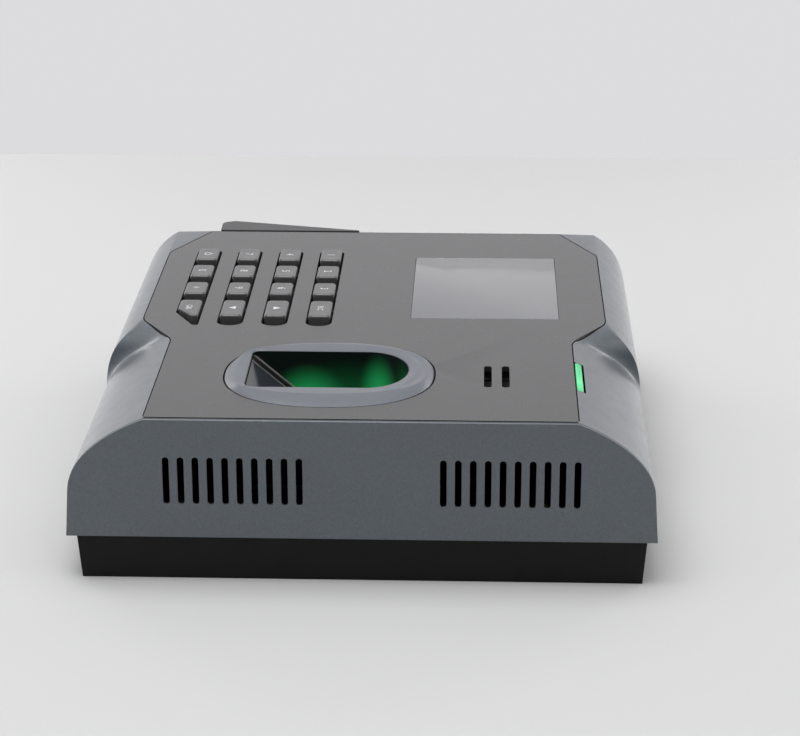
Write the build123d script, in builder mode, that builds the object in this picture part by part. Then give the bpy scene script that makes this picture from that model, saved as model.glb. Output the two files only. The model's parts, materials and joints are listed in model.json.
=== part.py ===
# Fingerprint scanner terminal, lying on its back.
# +X is its right side, +Y its top, +Z comes out of its face; z = 0 is the back plane.
# Origin: the middle of the wall plate's four screw holes, on the back plane.

import os
from math import copysign, cos, pi, radians, sin, tan

from build123d import *

os.makedirs("parts", exist_ok=True)

# Case
face_z = 57.0
split_z = 15.7  # lower edge of the front shell
case_left = -102.5
case_right = 102.5
case_half = 96.6  # half height of the shell at its lower edge
side_lean = 1.1  # draft of the long sides
wing_drop = 25.0  # depth at which a wing becomes the drafted side
wall = 2.4
narrow_rim = 70.0  # half height of the face in front of the notch
wide_rim = 82.7  # half height of the face behind it
narrow_pull = (13.9, 11.4)  # how far each end of the wing curve holds its direction
wide_pull = (13.5, 8.7)
narrow_slope = 21.6  # fall of the wing where it leaves the face
wide_slope = 24.3
wing_bend = 26.0  # mean radius of the wing curve
notch_near = 24.9  # where the narrow rim turns into the notch
notch_far = 5.4  # where the notch meets the wide rim
notch_radius = 12.0
wing_scoop = (9.0, 81.8)  # foot of the scoop that ends the wide part
wing_tip = (15.0, 93.0)
wall_draft = 30.0  # lean of that end wall
cut_start = -73.2  # the face's far corners are cut from here
cut_half = 69.0
corner_radius = 20.0  # far corners of the shell seen from the front

# Face panel and the deck under it
panel_thick = 2.0
panel_gap = 0.4
panel_inset = 1.5  # from the case's end planes
deck = 2.4
deck_z = face_z - panel_thick
ceiling_z = deck_z - deck

# Side panel
side_thick = 1.2
side_rim = 1.2  # rim of the shell round the side panel
side_gap = 0.3
vent_size = (16.3, 2.1)
vent_pitch = 4.81
vent_count = 10
vent_z = 35.75
vent_groups = (-41.45, 48.45)

# Display
window_size = (70.8, 53.1)
window_at = (-34.2, 39.75)
window_flange = (1.8, 0.8)  # reach under the panel and thickness
window_gap = 0.1
lcd_size = (76.9, 63.9)
lcd_glass = (73.0, 57.0, 1.6)
lcd_frame_thick = 0.3
lcd_depth = 3.2
lcd_ear = 4.4  # from the display's side to the screws of its carrier
lcd_ear_y = 26.0
carrier_thick = 1.4

# Keys
key_rows = (-67.2, -51.4, -35.5, -19.6)  # one row of keys for each line of the keypad
key_spans = ((-73.9, -60.0), (-53.3, -39.7), (-32.8, -19.5), (-12.3, 4.8))
key_width = 8.0
key_rise = 1.6  # above the face
key_radius = 1.6
key_edge = 0.6
key_travel = 1.2
key_gap = 0.7
key_flange = (1.5, 1.2)  # reach beyond the key and thickness
slot_ends = (-75.6, 11.0)
corner_cut = (13.5, 7.4)  # slanted end of the lowest row
seat_gap = 0.2
press_gap = 0.2  # between a pressed key and its dome
dome = (4.2, 3.2, 0.8)  # foot radius, top radius, height
mat_thick = 1.2
mat_area = (-79.0, 9.0, -73.0, -13.5)
board_thick = 1.6
keypad_board_area = (-86.0, 14.0, -78.5, -8.5)
board_corner = 3.5  # from a board's edges to its screws

# Fingerprint sensor
ring_at = (59.1, -12.4)
ring_half = (30.6, 35.5)
ring_power = 2.3
ring_rise = 1.9
ring_slope = 7.0  # from the ring's edge in to its crest
ring_gap = 0.3
mouth_funnel = 4.0  # how far the crest stands back from the mouth
mouth_x = (40.5, 75.0)
mouth_y = (-40.0, 0.0, 14.4)  # square end, start of the rounded end, its tip
mouth_corner = 3.0
well_wall = 2.2
well_floor_z = 34.0
well_base_z = 24.0
well_flange = (6.5, 2.0)
peg = (1.2, 0.1)  # radius and clearance of the pegs that hold the well
ramp_top = (-38.4, 54.4)  # upper edge of the glass: y, z
ramp_foot = (-14.5, 35.6)
prism_width = 30.0
prism_depth = 10.0
prism_taper = 4.0
prism_inset = 1.2
prism_gap = 0.1
sensor_board_area = (38.0, 77.5, -43.0, 14.0)
lens = (4.0, 4.5)
lamp_y = -2.0
lamp_bay = 16.0
lamp_size = (3.5, 2.8, 1.9)

# Status light and speaker
light_x = (47.3, 73.7)
light_y = (70.7, 73.1)
light_slot_y = (70.4, 74.4)
light_flange = (2.0, 1.8)
light_ear = (4.6, 66.5)
lamp_room = 0.6
light_recess = 0.35
speaker_at = (60.0, 43.9)
speaker_radius = 14.0
speaker_depth = 5.2
magnet = (7.0, 3.0)
gasket_thick = 0.8
gasket_width = 3.0
retainer_thick = 1.4
speaker_ear = 18.6
speaker_slots = (40.9, 46.9)
speaker_slot = (20.1, 2.6)

# Rear housing
rear_left = -99.5
rear_right = 101.0
rear_half = 93.3
rear_draft = 4.0
rear_wall = 2.5
rear_floor = 2.2
rear_corner = 17.0
rear_lip = 2.6  # how far its rim reaches into the shell
bay_floor_z = 5.0  # underside of the floor over the wall plate

# Wall plate
plate_x = 60.0
plate_y = (-50.0, 54.0)
plate_thick = 1.5
plate_travel = 8.0
plate_gap = 0.6
hole_spacing = (100.0, 70.0)
hole_radius = 2.25
plate_window = (72.0, -42.0, -12.0)
hook_x = 50.0
hook_y = (-16.0, 14.0)
hook_width = 12.0
hook_reach = 6.0
hook_gap = 0.4

# Screws and bosses
boss_radius = 3.6
boss_hole = 1.25
screw_radius = 1.5
screw_head = (2.9, 2.2)
column_radius = 5.0
column_top = 16.0
screw_seat_z = 8.0
screw_length = 16.0
screw_gap = 0.2
case_screws = ((92, 60), (92, -60), (20, 66.5), (20, -66.5), (-86, 84), (-86, -84))

# Small screws of the boards
small_boss = 2.6
small_screw = (0.9, 1.9, 3.0)  # shaft radius, head radius, grip
small_head = 1.3

# Door of the side port
door_y = (-64.0, -5.4)
door_z = (22.0, 51.0)
door_ends = (-66.0, -10.6)  # its thick and its thin end
door_low_z = 20.0
door_skin = 1.6
door_reach = 9.0  # how far its thick end stands out
door_top_z = 57.2
door_lift = 1.0  # rise of its top towards the outside
door_gap = 0.1
door_thin = 0.6
door_nose = 5.0
door_hollow = -20.0
pin_at = (-101.0, -8.6)
pin_radius = 0.8
pin_gap = 0.06
pin_boss_radius = 1.8
pin_grip = 3.6  # length of the pin held at each end
knuckle_radius = 1.9
knuckle_gap = 0.4

# Side port behind the door
port_y = (-62.0, -14.0)
port_bay = (8.0, 1.6)  # depth and wall
socket_at = (-40.0, 36.0)
socket_left = -97.0
socket_size = (14.0, 13.1, 5.7)

# Main board
main_board_area = (-84.0, 34.0, -56.0, 56.0)
main_board_z = 26.0
connector_bay = (68.0, -40.0, -16.0)
connector_y = -28.0
jack_x = -20.0
jack_size = (16.2, 13.4, 15.6)
jack_mouth = (11.8, 8.3, 10.0)
power_x = -2.0
terminal_x = 18.0
terminal_pitch = 3.5
terminal_count = 7
cell_at = (8.0, 34.0)
cell = (10.0, 3.2)
chips = ((-60, 38, 14, 10, 1.2), (0, 10, 12, 18, 1.2), (16, 4, 8, 8, 1.0))
header = (28.0, 5.0, 2.2)
header_x = -34.0
header_y = (-6.0, -29.0)
tape_thick = 0.3

# Tamper plunger
plunger_at = (-72.0, 30.0)
plunger_radius = 2.0
plunger_gap = 0.08
plunger_low_z = 0.2
plunger_top_z = 19.6
guide_wall = 1.4
guide_top_z = 12.0


# Heights that follow from the pieces stacked under the deck
key_low_z = ceiling_z - seat_gap - key_flange[1]
dome_top_z = key_low_z - key_travel - press_gap
mat_low_z = dome_top_z - dome[2] - mat_thick
keypad_board_z = mat_low_z - board_thick
lcd_top_z = ceiling_z - seat_gap
lcd_low_z = lcd_top_z - lcd_depth
speaker_top_z = ceiling_z - gasket_thick
retainer_top_z = speaker_top_z - speaker_depth
light_board_z = ceiling_z - seat_gap - light_flange[1] - lamp_room - board_thick


def corners(area, inset):
    left, right, low, high = area
    xs, ys = (left + inset, right - inset), (low + inset, high - inset)
    return [(x, y) for x in xs for y in ys]


lcd_ears = [
    (window_at[0] + sx * (lcd_size[0] / 2 + lcd_ear), window_at[1] + sy * lcd_ear_y)
    for sx in (-1, 1)
    for sy in (-1, 1)
]
speaker_ears = [(speaker_at[0] + sx * speaker_ear, speaker_at[1]) for sx in (-1, 1)]
light_ears = [(light_x[0] - light_ear[0], light_ear[1]), (light_x[1] + light_ear[0], light_ear[1])]
keypad_ears = corners(keypad_board_area, board_corner)
well_pegs = [(mouth_x[0] - 4.2, -36.0), (mouth_x[1] + 4.2, -36.0)]
well_pegs += [(mouth_x[0] - 4.2, -1.0), (mouth_x[1] + 4.2, -1.0)]
deck_bosses = [
    (keypad_ears, mat_low_z),
    (lcd_ears, lcd_low_z),
    (speaker_ears, retainer_top_z),
    (light_ears, light_board_z + board_thick),
]


def arch_section(x, rim, slope, pull, inset, low, high):
    # From the middle over each wing and down its drafted side; inset gives the inner faces
    foot = Vector(case_half, split_z)
    shoulder = Vector(case_half - side_lean, face_z - wing_drop)
    down = (foot - shoulder).normalized()
    fall = Vector(cos(radians(slope)), -sin(radians(slope)))
    inward = Vector(-inset, 0)
    corner = Vector(rim - inset * tan(radians(slope / 2)), face_z - inset)
    shoulder, low_end = shoulder + inward, foot + down * split_z + inward
    shrink = 1 - inset / wing_bend
    leave, arrive = corner + fall * pull[0] * shrink, shoulder - down * pull[1] * shrink
    with BuildSketch(Plane.YZ.offset(x)) as section:
        for side in (1, -1):
            curve = [(side * p.X, p.Y) for p in (corner, leave, arrive, shoulder)]
            with BuildLine():
                Line((0, corner.Y), curve[0])
                Bezier(*curve)
                Polyline(curve[-1], (side * low_end.X, low_end.Y), (0, low_end.Y), (0, corner.Y))
            make_face()
        with Locations((0, (low + high) / 2)):
            Rectangle(4 * case_half, high - low, mode=Mode.INTERSECT)
    return section.sketch


def narrow_section(x, inset, low, high):
    return arch_section(x, narrow_rim, narrow_slope, narrow_pull, inset, low, high)


def wide_section(x, inset, low, high):
    return arch_section(x, wide_rim, wide_slope, wide_pull, inset, low, high)


def plan_outline(z, left, right, half, radius):
    # Rectangle with its two far corners rounded
    with BuildSketch(Plane.XY.offset(z)) as outline:
        with Locations(((left + right) / 2, 0)):
            Rectangle(right - left, 2 * half)
        fillet(outline.vertices().group_by(Axis.X)[0], radius)
    return outline.sketch


def face_outline(z, grow):
    # The face seen from the front: narrow, notched out to wide, far corners cut
    near = case_right - panel_inset
    far = case_left + panel_inset
    upper = [
        (near, narrow_rim),
        (notch_near, narrow_rim),
        (notch_far, wide_rim),
        (cut_start, wide_rim),
        (far, cut_half),
    ]
    bends = [0.8, notch_radius, notch_radius, 8, 3]
    lower = [(x, -y) for x, y in reversed(upper)]
    with BuildSketch(Plane.XY.offset(z)) as outline:
        with BuildLine():
            FilletPolyline(*upper, *lower, radius=bends + bends[::-1], close=True)
        make_face()
        if grow:
            offset(amount=grow, kind=Kind.INTERSECTION)
    return outline.sketch


def slot_outline(z, row, grow):
    # Long slot of one line of keys; the lowest one has a slanted end
    half = key_width / 2 + grow
    left = slot_ends[0] + key_gap - grow
    right = slot_ends[1] - key_gap + grow
    y = key_rows[row]
    points = [(left, y - half), (right, y - half), (right, y + half), (left, y + half)]
    bends = [half * 0.5, half * 0.9, half * 0.9, half * 0.5]
    if row == 0:
        points[1:2] = [(right - corner_cut[0], y - half), (right, y - half + corner_cut[1])]
        bends = [half * 0.5, 1.5, 1.5, 0.8, half * 0.5]
    with BuildSketch(Plane.XY.offset(z)) as outline:
        with BuildLine():
            FilletPolyline(*points, radius=bends, close=True)
        make_face()
    return outline.sketch


def key_outline(z, row, column, grow, low_grow=None):
    # One key; the last key of the lowest line follows the slanted end
    left, right = key_spans[column]
    left, right = left - grow, right + grow
    side = grow if low_grow is None else low_grow
    half = key_width / 2 + side
    y = key_rows[row]
    points = [(left, y - half), (right, y - half), (right, y + half), (left, y + half)]
    bends = [key_radius] * 4
    if (row, column) == (0, 3):
        cut = corner_cut[0] * 0.62, corner_cut[1] * 0.8
        points[1:2] = [(right - cut[0], y - half), (right, y - half + cut[1])]
        bends[1:3] = [1.2, 0.8, 1.1]
    with BuildSketch(Plane.XY.offset(z)) as outline:
        with BuildLine():
            FilletPolyline(*points, radius=bends, close=True)
        make_face()
    return outline.sketch


def ring_outline(z, grow, shift=0.0):
    # Superellipse of the sensor's ring
    count = 32
    points = []
    for i in range(count):
        angle = 2 * pi * i / count
        c, s = cos(angle), sin(angle)
        across = copysign(abs(c) ** (2 / ring_power), c)
        along = copysign(abs(s) ** (2 / ring_power), s)
        x = ring_at[0] + shift + (ring_half[0] + grow) * across
        y = ring_at[1] + (ring_half[1] + grow) * along
        points.append((x, y))
    with BuildSketch(Plane.XY.offset(z)) as outline:
        with BuildLine():
            Spline(*points, periodic=True)
        make_face()
    return outline.sketch


def mouth_outline(z, grow):
    # D-shaped mouth: square towards the wrist, rounded towards the fingertip
    left, right = mouth_x[0] - grow, mouth_x[1] + grow
    low, bend, tip = mouth_y[0] - grow, mouth_y[1], mouth_y[2] + grow
    middle = (left + right) / 2
    with BuildSketch(Plane.XY.offset(z)) as outline:
        with BuildLine():
            FilletPolyline(
                (left, bend), (left, low), (right, low), (right, bend), radius=mouth_corner + grow / 2
            )
            EllipticalCenterArc((middle, bend), (right - left) / 2, tip - bend, arc_size=180)
        make_face()
    return outline.sketch


# Front shell: an arch, wider in its far part, hollow, with a deck under the face panel
with BuildPart() as wide_block:
    block_length = notch_near + notch_radius - case_left
    extrude(wide_section(case_left, 0, split_z, face_z), amount=block_length)
    for side in (1, -1):
        far_x = 1.3 * case_right
        far_y = side * 1.6 * case_half
        with BuildSketch(Plane.XY.offset(face_z)):
            with BuildLine():
                Polyline(
                    (far_x, side * (narrow_rim + 1)),
                    (notch_near, side * (narrow_rim + 1)),
                    (wing_scoop[0], side * wing_scoop[1]),
                    (wing_tip[0], side * wing_tip[1]),
                    (wing_tip[0], far_y),
                    (far_x, far_y),
                    close=True,
                )
            make_face()
        extrude(amount=-face_z, taper=wall_draft, mode=Mode.SUBTRACT)

with BuildPart() as cavity:
    inner_left = case_left + wall
    extrude(narrow_section(inner_left, wall, -1, ceiling_z), amount=case_right - inner_left)
    extrude(wide_section(inner_left, wall, -1, ceiling_z), amount=wing_scoop[0] - wall - inner_left)
    extrude(
        plan_outline(-1, inner_left, case_right + 1, case_half, corner_radius - wall),
        amount=face_z,
        mode=Mode.INTERSECT,
    )

with BuildPart() as front_shell:
    extrude(narrow_section(case_left, 0, split_z, face_z), amount=case_right - case_left)
    add(wide_block.part)
    extrude(
        plan_outline(split_z, case_left, case_right, case_half + 1, corner_radius),
        amount=face_z,
        mode=Mode.INTERSECT,
    )
    add(cavity.part, mode=Mode.SUBTRACT)
    # Screw bosses and the smaller bosses of the boards under the deck
    with BuildSketch(Plane.XY.offset(column_top)):
        with Locations(*case_screws):
            Circle(boss_radius)
    extrude(amount=ceiling_z + 0.5 - column_top)
    with Locations(*[Location((x, y, column_top)) for x, y in case_screws]):
        Cylinder(boss_hole, 14, align=(Align.CENTER, Align.CENTER, Align.MIN), mode=Mode.SUBTRACT)
    # Seat of the face panel
    extrude(face_outline(deck_z, panel_gap), amount=2 * panel_thick, mode=Mode.SUBTRACT)
    # Seat of the side panel
    extrude(
        narrow_section(case_right - side_thick, side_rim, -1, face_z),
        amount=2 * side_thick,
        mode=Mode.SUBTRACT,
    )
    # Openings of the deck
    with BuildSketch(Plane.XY.offset(ceiling_z)):
        with Locations(window_at):
            Rectangle(window_size[0] + 0.8, window_size[1] + 0.8)
    extrude(amount=2 * deck, mode=Mode.SUBTRACT)
    for row in range(4):
        extrude(slot_outline(ceiling_z, row, key_gap), amount=2 * deck, mode=Mode.SUBTRACT)
    extrude(mouth_outline(ceiling_z, well_wall + 0.3), amount=2 * deck, mode=Mode.SUBTRACT)
    with BuildSketch(Plane.XY.offset(ceiling_z)):
        for y in speaker_slots:
            with Locations((speaker_at[0], y)):
                SlotOverall(speaker_slot[0] + 1, speaker_slot[1] + 1)
    extrude(amount=2 * deck, mode=Mode.SUBTRACT)
    # Slot of the status light
    with BuildSketch(Plane.XY.offset(ceiling_z - 5)):
        with Locations((sum(light_x) / 2, sum(light_slot_y) / 2)):
            Rectangle(light_x[1] - light_x[0] + 0.4, light_slot_y[1] - light_slot_y[0])
    extrude(amount=12, mode=Mode.SUBTRACT)
    # Port opening of the left wall, with the bosses that hold the door's pin
    pin_boss_x = case_left + pin_boss_radius + 0.2
    with BuildSketch(Plane.XY.offset(door_z[0] - pin_grip)):
        with Locations((pin_boss_x, pin_at[1])):
            Circle(pin_boss_radius)
    extrude(amount=ceiling_z + 0.5 - door_z[0] + pin_grip)
    with BuildSketch(Plane.YZ.offset(case_left - 1)):
        with Locations((sum(door_y) / 2, sum(door_z) / 2)):
            Rectangle(door_y[1] - door_y[0], door_z[1] - door_z[0])
    extrude(amount=wall + 3.5, mode=Mode.SUBTRACT)
    with BuildSketch(Plane.XY.offset(door_z[0] - pin_grip + 1)):
        with Locations(pin_at):
            Circle(pin_radius)
    extrude(amount=door_z[1] - door_z[0] + 2 * pin_grip - 2, mode=Mode.SUBTRACT)
    # Bosses under the deck that carry the boards, the display and the speaker
    for spots, low in deck_bosses:
        with BuildSketch(Plane.XY.offset(low)):
            with Locations(*spots):
                Circle(small_boss)
        extrude(amount=ceiling_z + 0.5 - low)
        with BuildSketch(Plane.XY.offset(low)):
            with Locations(*spots):
                Circle(small_screw[0])
        extrude(amount=small_screw[2], mode=Mode.SUBTRACT)
    # Pegs of the sensor's well
    with BuildSketch(Plane.XY.offset(ceiling_z - well_flange[1] - 0.8)):
        with Locations(*well_pegs):
            Circle(peg[0])
    extrude(amount=well_flange[1] + 1.3)
front_shell.part.label = "front_shell"
export_step(front_shell.part, "parts/front_shell.step")


# Side panel: a thin vented plate let into the end of the arch
with BuildPart() as side_panel_right:
    plate_left = case_right - side_thick
    extrude(narrow_section(plate_left, side_rim + side_gap, split_z, face_z), amount=side_thick)
    with BuildSketch(Plane.YZ.offset(plate_left)):
        for y in vent_groups:
            with Locations((y, vent_z)):
                with GridLocations(vent_pitch, 1, vent_count, 1):
                    SlotOverall(*vent_size, rotation=90)
    extrude(amount=side_thick, mode=Mode.SUBTRACT)
side_panel_right.part.label = "side_panel_right"
export_step(side_panel_right.part, "parts/side_panel_right.step")


# Face panel: black plate let in flush with the wings
with BuildPart() as face_panel:
    extrude(face_outline(deck_z, 0), amount=panel_thick)
    with BuildSketch(Plane.XY.offset(deck_z)):
        with Locations(window_at):
            Rectangle(window_size[0] + 2 * window_gap, window_size[1] + 2 * window_gap)
        for y in speaker_slots:
            with Locations((speaker_at[0], y)):
                SlotOverall(*speaker_slot)
        for row in range(4):
            add(slot_outline(0, row, key_gap))
        add(ring_outline(0, ring_gap))
    extrude(amount=panel_thick, mode=Mode.SUBTRACT)
    with BuildSketch(Plane.XY.offset(deck_z)):
        reach = 2 * (window_flange[0] + window_gap)
        with Locations(window_at):
            Rectangle(window_size[0] + reach, window_size[1] + reach)
    extrude(amount=window_flange[1] + window_gap, mode=Mode.SUBTRACT)
face_panel.part.label = "face_panel"
export_step(face_panel.part, "parts/face_panel.step")


# Display window: clear plate whose flange is held under the face panel
with BuildPart() as display_window:
    with BuildSketch(Plane.XY.offset(deck_z)):
        with Locations(window_at):
            Rectangle(*window_size)
    extrude(amount=panel_thick)
    with BuildSketch(Plane.XY.offset(deck_z)):
        with Locations(window_at):
            Rectangle(window_size[0] + 2 * window_flange[0], window_size[1] + 2 * window_flange[0])
    extrude(amount=window_flange[1])
display_window.part.label = "display_window"
export_step(display_window.part, "parts/display_window.step")


# Display module: tray frame, glass and backlight, held up by a carrier
with BuildPart() as lcd_frame:
    with BuildSketch(Plane.XY.offset(lcd_low_z)):
        with Locations(window_at):
            Rectangle(*lcd_size)
    extrude(amount=lcd_depth)
    with BuildSketch(Plane.XY.offset(lcd_low_z)):
        with Locations(window_at):
            Rectangle(lcd_size[0] - 2 * lcd_frame_thick, lcd_size[1] - 2 * lcd_frame_thick)
    extrude(amount=lcd_depth - lcd_frame_thick, mode=Mode.SUBTRACT)
    with BuildSketch(Plane.XY.offset(lcd_low_z)):
        with Locations(window_at):
            Rectangle(*window_size)
    extrude(amount=lcd_depth, mode=Mode.SUBTRACT)
lcd_frame.part.label = "lcd_frame"
export_step(lcd_frame.part, "parts/lcd_frame.step")

with BuildPart() as lcd_panel:
    with BuildSketch(Plane.XY.offset(lcd_top_z - lcd_frame_thick)):
        with Locations(window_at):
            Rectangle(*lcd_glass[:2])
    extrude(amount=-lcd_glass[2])
lcd_panel.part.label = "lcd_panel"
export_step(lcd_panel.part, "parts/lcd_panel.step")

with BuildPart() as lcd_backlight:
    with BuildSketch(Plane.XY.offset(lcd_low_z)):
        with Locations(window_at):
            Rectangle(lcd_size[0] - 4 * lcd_frame_thick, lcd_size[1] - 4 * lcd_frame_thick)
    extrude(amount=lcd_depth - lcd_frame_thick - lcd_glass[2])
lcd_backlight.part.label = "lcd_backlight"
export_step(lcd_backlight.part, "parts/lcd_backlight.step")

with BuildPart() as lcd_carrier:
    with BuildSketch(Plane.XY.offset(lcd_low_z)):
        with Locations(window_at):
            Rectangle(lcd_size[0] + 2, lcd_size[1] + 2)
            Rectangle(lcd_size[0] - 24, lcd_size[1] - 24, mode=Mode.SUBTRACT)
        with Locations(*lcd_ears):
            Circle(small_boss + 0.6)
        for x, y in lcd_ears:
            with Locations(((x + window_at[0]) / 2, y)):
                Rectangle(abs(x - window_at[0]), small_boss * 2)
        with Locations(window_at):
            Rectangle(lcd_size[0] - 24, lcd_size[1] - 24, mode=Mode.SUBTRACT)
        with Locations(*lcd_ears):
            Circle(small_screw[0] + screw_gap, mode=Mode.SUBTRACT)
    extrude(amount=-carrier_thick)
lcd_carrier.part.label = "lcd_carrier"
export_step(lcd_carrier.part, "parts/lcd_carrier.step")


# Keys: each has a flange that holds it under the deck
key_names = (
    ("power", "0", "star", "ok"),
    ("7", "8", "9", "down"),
    ("4", "5", "6", "up"),
    ("1", "2", "3", "esc"),
)
for row, names in enumerate(key_names):
    for column, name in enumerate(names):
        with BuildPart() as key:
            extrude(key_outline(key_low_z, row, column, key_flange[0]), amount=key_flange[1])
            extrude(key_outline(key_low_z, row, column, 0), amount=face_z + key_rise - key_low_z)
            fillet(key.faces().sort_by(Axis.Z)[-1].edges(), key_edge)
        key.part.label = f"key_{name}"
        export_step(key.part, f"parts/key_{name}.step")

with BuildPart() as keypad_mat:
    left, right, low, high = mat_area
    with BuildSketch(Plane.XY.offset(mat_low_z)):
        with Locations(((left + right) / 2, (low + high) / 2)):
            RectangleRounded(right - left, high - low, 3)
    extrude(amount=mat_thick)
    for y in key_rows:
        for span in key_spans:
            with Locations((sum(span) / 2, y, mat_low_z + mat_thick)):
                Cone(*dome, align=(Align.CENTER, Align.CENTER, Align.MIN))
keypad_mat.part.label = "keypad_mat"
export_step(keypad_mat.part, "parts/keypad_mat.step")


def circuit_board(area, z, holes):
    left, right, low, high = area
    with BuildPart() as board:
        with BuildSketch(Plane.XY.offset(z)):
            with Locations(((left + right) / 2, (low + high) / 2)):
                RectangleRounded(right - left, high - low, 1.5)
            with Locations(*holes):
                Circle(small_screw[0] + screw_gap, mode=Mode.SUBTRACT)
        extrude(amount=board_thick)
    return board.part


def small_screws(spots, seat_z, up):
    # Pan heads under a board, or over it, with their shafts in the bosses
    grip = small_screw[2] + board_thick - 0.4
    with BuildPart() as screws:
        with BuildSketch(Plane.XY.offset(seat_z)):
            with Locations(*spots):
                Circle(small_screw[1])
        extrude(amount=-up * small_head)
        with BuildSketch(Plane.XY.offset(seat_z)):
            with Locations(*spots):
                Circle(small_screw[0] - 0.05)
        extrude(amount=up * grip)
    return screws.part


keypad_board = circuit_board(keypad_board_area, keypad_board_z, keypad_ears)
keypad_board.label = "keypad_board"
export_step(keypad_board, "parts/keypad_board.step")


# Fingerprint sensor: raised ring, well with a sloping prism, lens, lamps and board
with BuildPart() as sensor_bezel:
    extrude(ring_outline(deck_z, 0), amount=panel_thick)
    loft(
        sections=[
            ring_outline(face_z, 0),
            ring_outline(face_z + ring_rise * 0.7, -ring_slope * 0.35),
            ring_outline(face_z + ring_rise, -ring_slope),
        ]
    )
    loft(
        sections=[
            mouth_outline(face_z + ring_rise + 0.1, mouth_funnel),
            mouth_outline(face_z + ring_rise * 0.3, 0),
        ],
        ruled=True,
        mode=Mode.SUBTRACT,
    )
    extrude(mouth_outline(deck_z, 0), amount=2 * panel_thick, mode=Mode.SUBTRACT)
sensor_bezel.part.label = "sensor_bezel"
export_step(sensor_bezel.part, "parts/sensor_bezel.step")

mouth_middle = sum(mouth_x) / 2
ramp = Vector(ramp_foot) - Vector(ramp_top)
down_ramp = ramp.normalized()
into_ramp = Vector(down_ramp.Y, -down_ramp.X)
prism_upper = Vector(ramp_top) + down_ramp * prism_inset
prism_lower = Vector(ramp_foot) - down_ramp * prism_inset
prism_section = [
    prism_upper,
    prism_lower,
    prism_lower + into_ramp * prism_depth - down_ramp * prism_taper,
    prism_upper + into_ramp * prism_depth + down_ramp * prism_taper,
]


def across_mouth(points, width, grow=0.0):
    # Section drawn in the plane of the ramp's fall, made as wide as asked over the mouth
    with BuildPart() as slab:
        with BuildSketch(Plane.YZ.offset(mouth_middle)):
            with BuildLine():
                Polyline(*[(p.X, p.Y) for p in points], close=True)
            make_face()
            if grow:
                offset(amount=grow, kind=Kind.INTERSECTION)
        extrude(amount=width / 2, both=True)
    return slab.part


under_ramp = [
    Vector(ramp_top),
    Vector(ramp_foot),
    Vector(ramp_foot[0], well_floor_z - 1),
    Vector(mouth_y[0] - 1, well_floor_z - 1),
    Vector(mouth_y[0] - 1, ramp_top[1]),
]
lens_port = [
    prism_section[3] + Vector(2, 2),
    prism_section[2] + Vector(0, 2),
    Vector(prism_section[2].X, well_base_z - 1),
    Vector(prism_section[3].X + 2, well_base_z - 1),
]
with BuildPart() as well_bore:
    extrude(mouth_outline(well_floor_z, 0), amount=face_z - well_floor_z)
    add(across_mouth(under_ramp, 2 * (mouth_x[1] - mouth_x[0])), mode=Mode.SUBTRACT)

with BuildPart() as sensor_well:
    extrude(mouth_outline(well_base_z, well_wall), amount=deck_z - well_base_z)
    extrude(mouth_outline(ceiling_z - well_flange[1], well_flange[0]), amount=well_flange[1])
    add(well_bore.part, mode=Mode.SUBTRACT)
    add(across_mouth(prism_section, prism_width, prism_gap), mode=Mode.SUBTRACT)
    add(across_mouth(lens_port, 2 * lens[0] + 6), mode=Mode.SUBTRACT)
    with BuildSketch(Plane.XY.offset(ceiling_z - 2 * well_flange[1])):
        with Locations(*well_pegs):
            Circle(peg[0] + peg[1])
    extrude(amount=3 * well_flange[1], mode=Mode.SUBTRACT)
    # Room for the lamps under the floor
    with BuildSketch(Plane.XY.offset(well_base_z)):
        with Locations((mouth_middle, lamp_y)):
            Rectangle(mouth_x[1] - mouth_x[0] - 6, lamp_bay)
    extrude(amount=well_floor_z - well_wall - well_base_z, mode=Mode.SUBTRACT)
sensor_well.part.label = "sensor_well"
export_step(sensor_well.part, "parts/sensor_well.step")

sensor_prism = across_mouth(prism_section, prism_width - 2 * prism_gap)
sensor_prism.label = "sensor_prism"
export_step(sensor_prism, "parts/sensor_prism.step")

sensor_board = circuit_board(sensor_board_area, well_base_z - board_thick, [])
sensor_board.label = "sensor_board"
export_step(sensor_board, "parts/sensor_board.step")

lens_at = (mouth_middle, (prism_section[2].X + prism_section[3].X + 2) / 2)
with BuildPart() as sensor_lens:
    with Locations((*lens_at, well_base_z)):
        Cylinder(lens[0], lens[1] * 0.6, align=(Align.CENTER, Align.CENTER, Align.MIN))
        Cylinder(lens[0] * 0.7, lens[1], align=(Align.CENTER, Align.CENTER, Align.MIN))
    with Locations((*lens_at, well_base_z + lens[1])):
        Sphere(lens[0] * 0.45, mode=Mode.SUBTRACT)
sensor_lens.part.label = "sensor_lens"
export_step(sensor_lens.part, "parts/sensor_lens.step")

with BuildPart() as sensor_lamps:
    with Locations((mouth_middle, lamp_y, well_base_z)):
        with GridLocations(9, 1, 3, 1):
            Box(*lamp_size, align=(Align.CENTER, Align.CENTER, Align.MIN))
sensor_lamps.part.label = "sensor_lamps"
export_step(sensor_lamps.part, "parts/sensor_lamps.step")


# Status light: a light guide beside the panel, flush with the wing, over its board
light_middle = (sum(light_x) / 2, sum(light_y) / 2)
light_length = light_x[1] - light_x[0]
with BuildPart() as status_light:
    with BuildSketch(Plane.XY.offset(ceiling_z - seat_gap)):
        with Locations(light_middle):
            Rectangle(light_length, light_y[1] - light_y[0])
    extrude(amount=face_z - ceiling_z)
    extrude(
        narrow_section(light_x[0], light_recess, 0, face_z),
        amount=light_length,
        mode=Mode.INTERSECT,
    )
    with BuildSketch(Plane.XY.offset(ceiling_z - seat_gap)):
        with Locations((light_middle[0], light_middle[1] - 0.6)):
            Rectangle(light_length + light_flange[0], light_y[1] - light_y[0] + light_flange[0])
    extrude(amount=-light_flange[1])
status_light.part.label = "status_light"
export_step(status_light.part, "parts/status_light.step")

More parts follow.
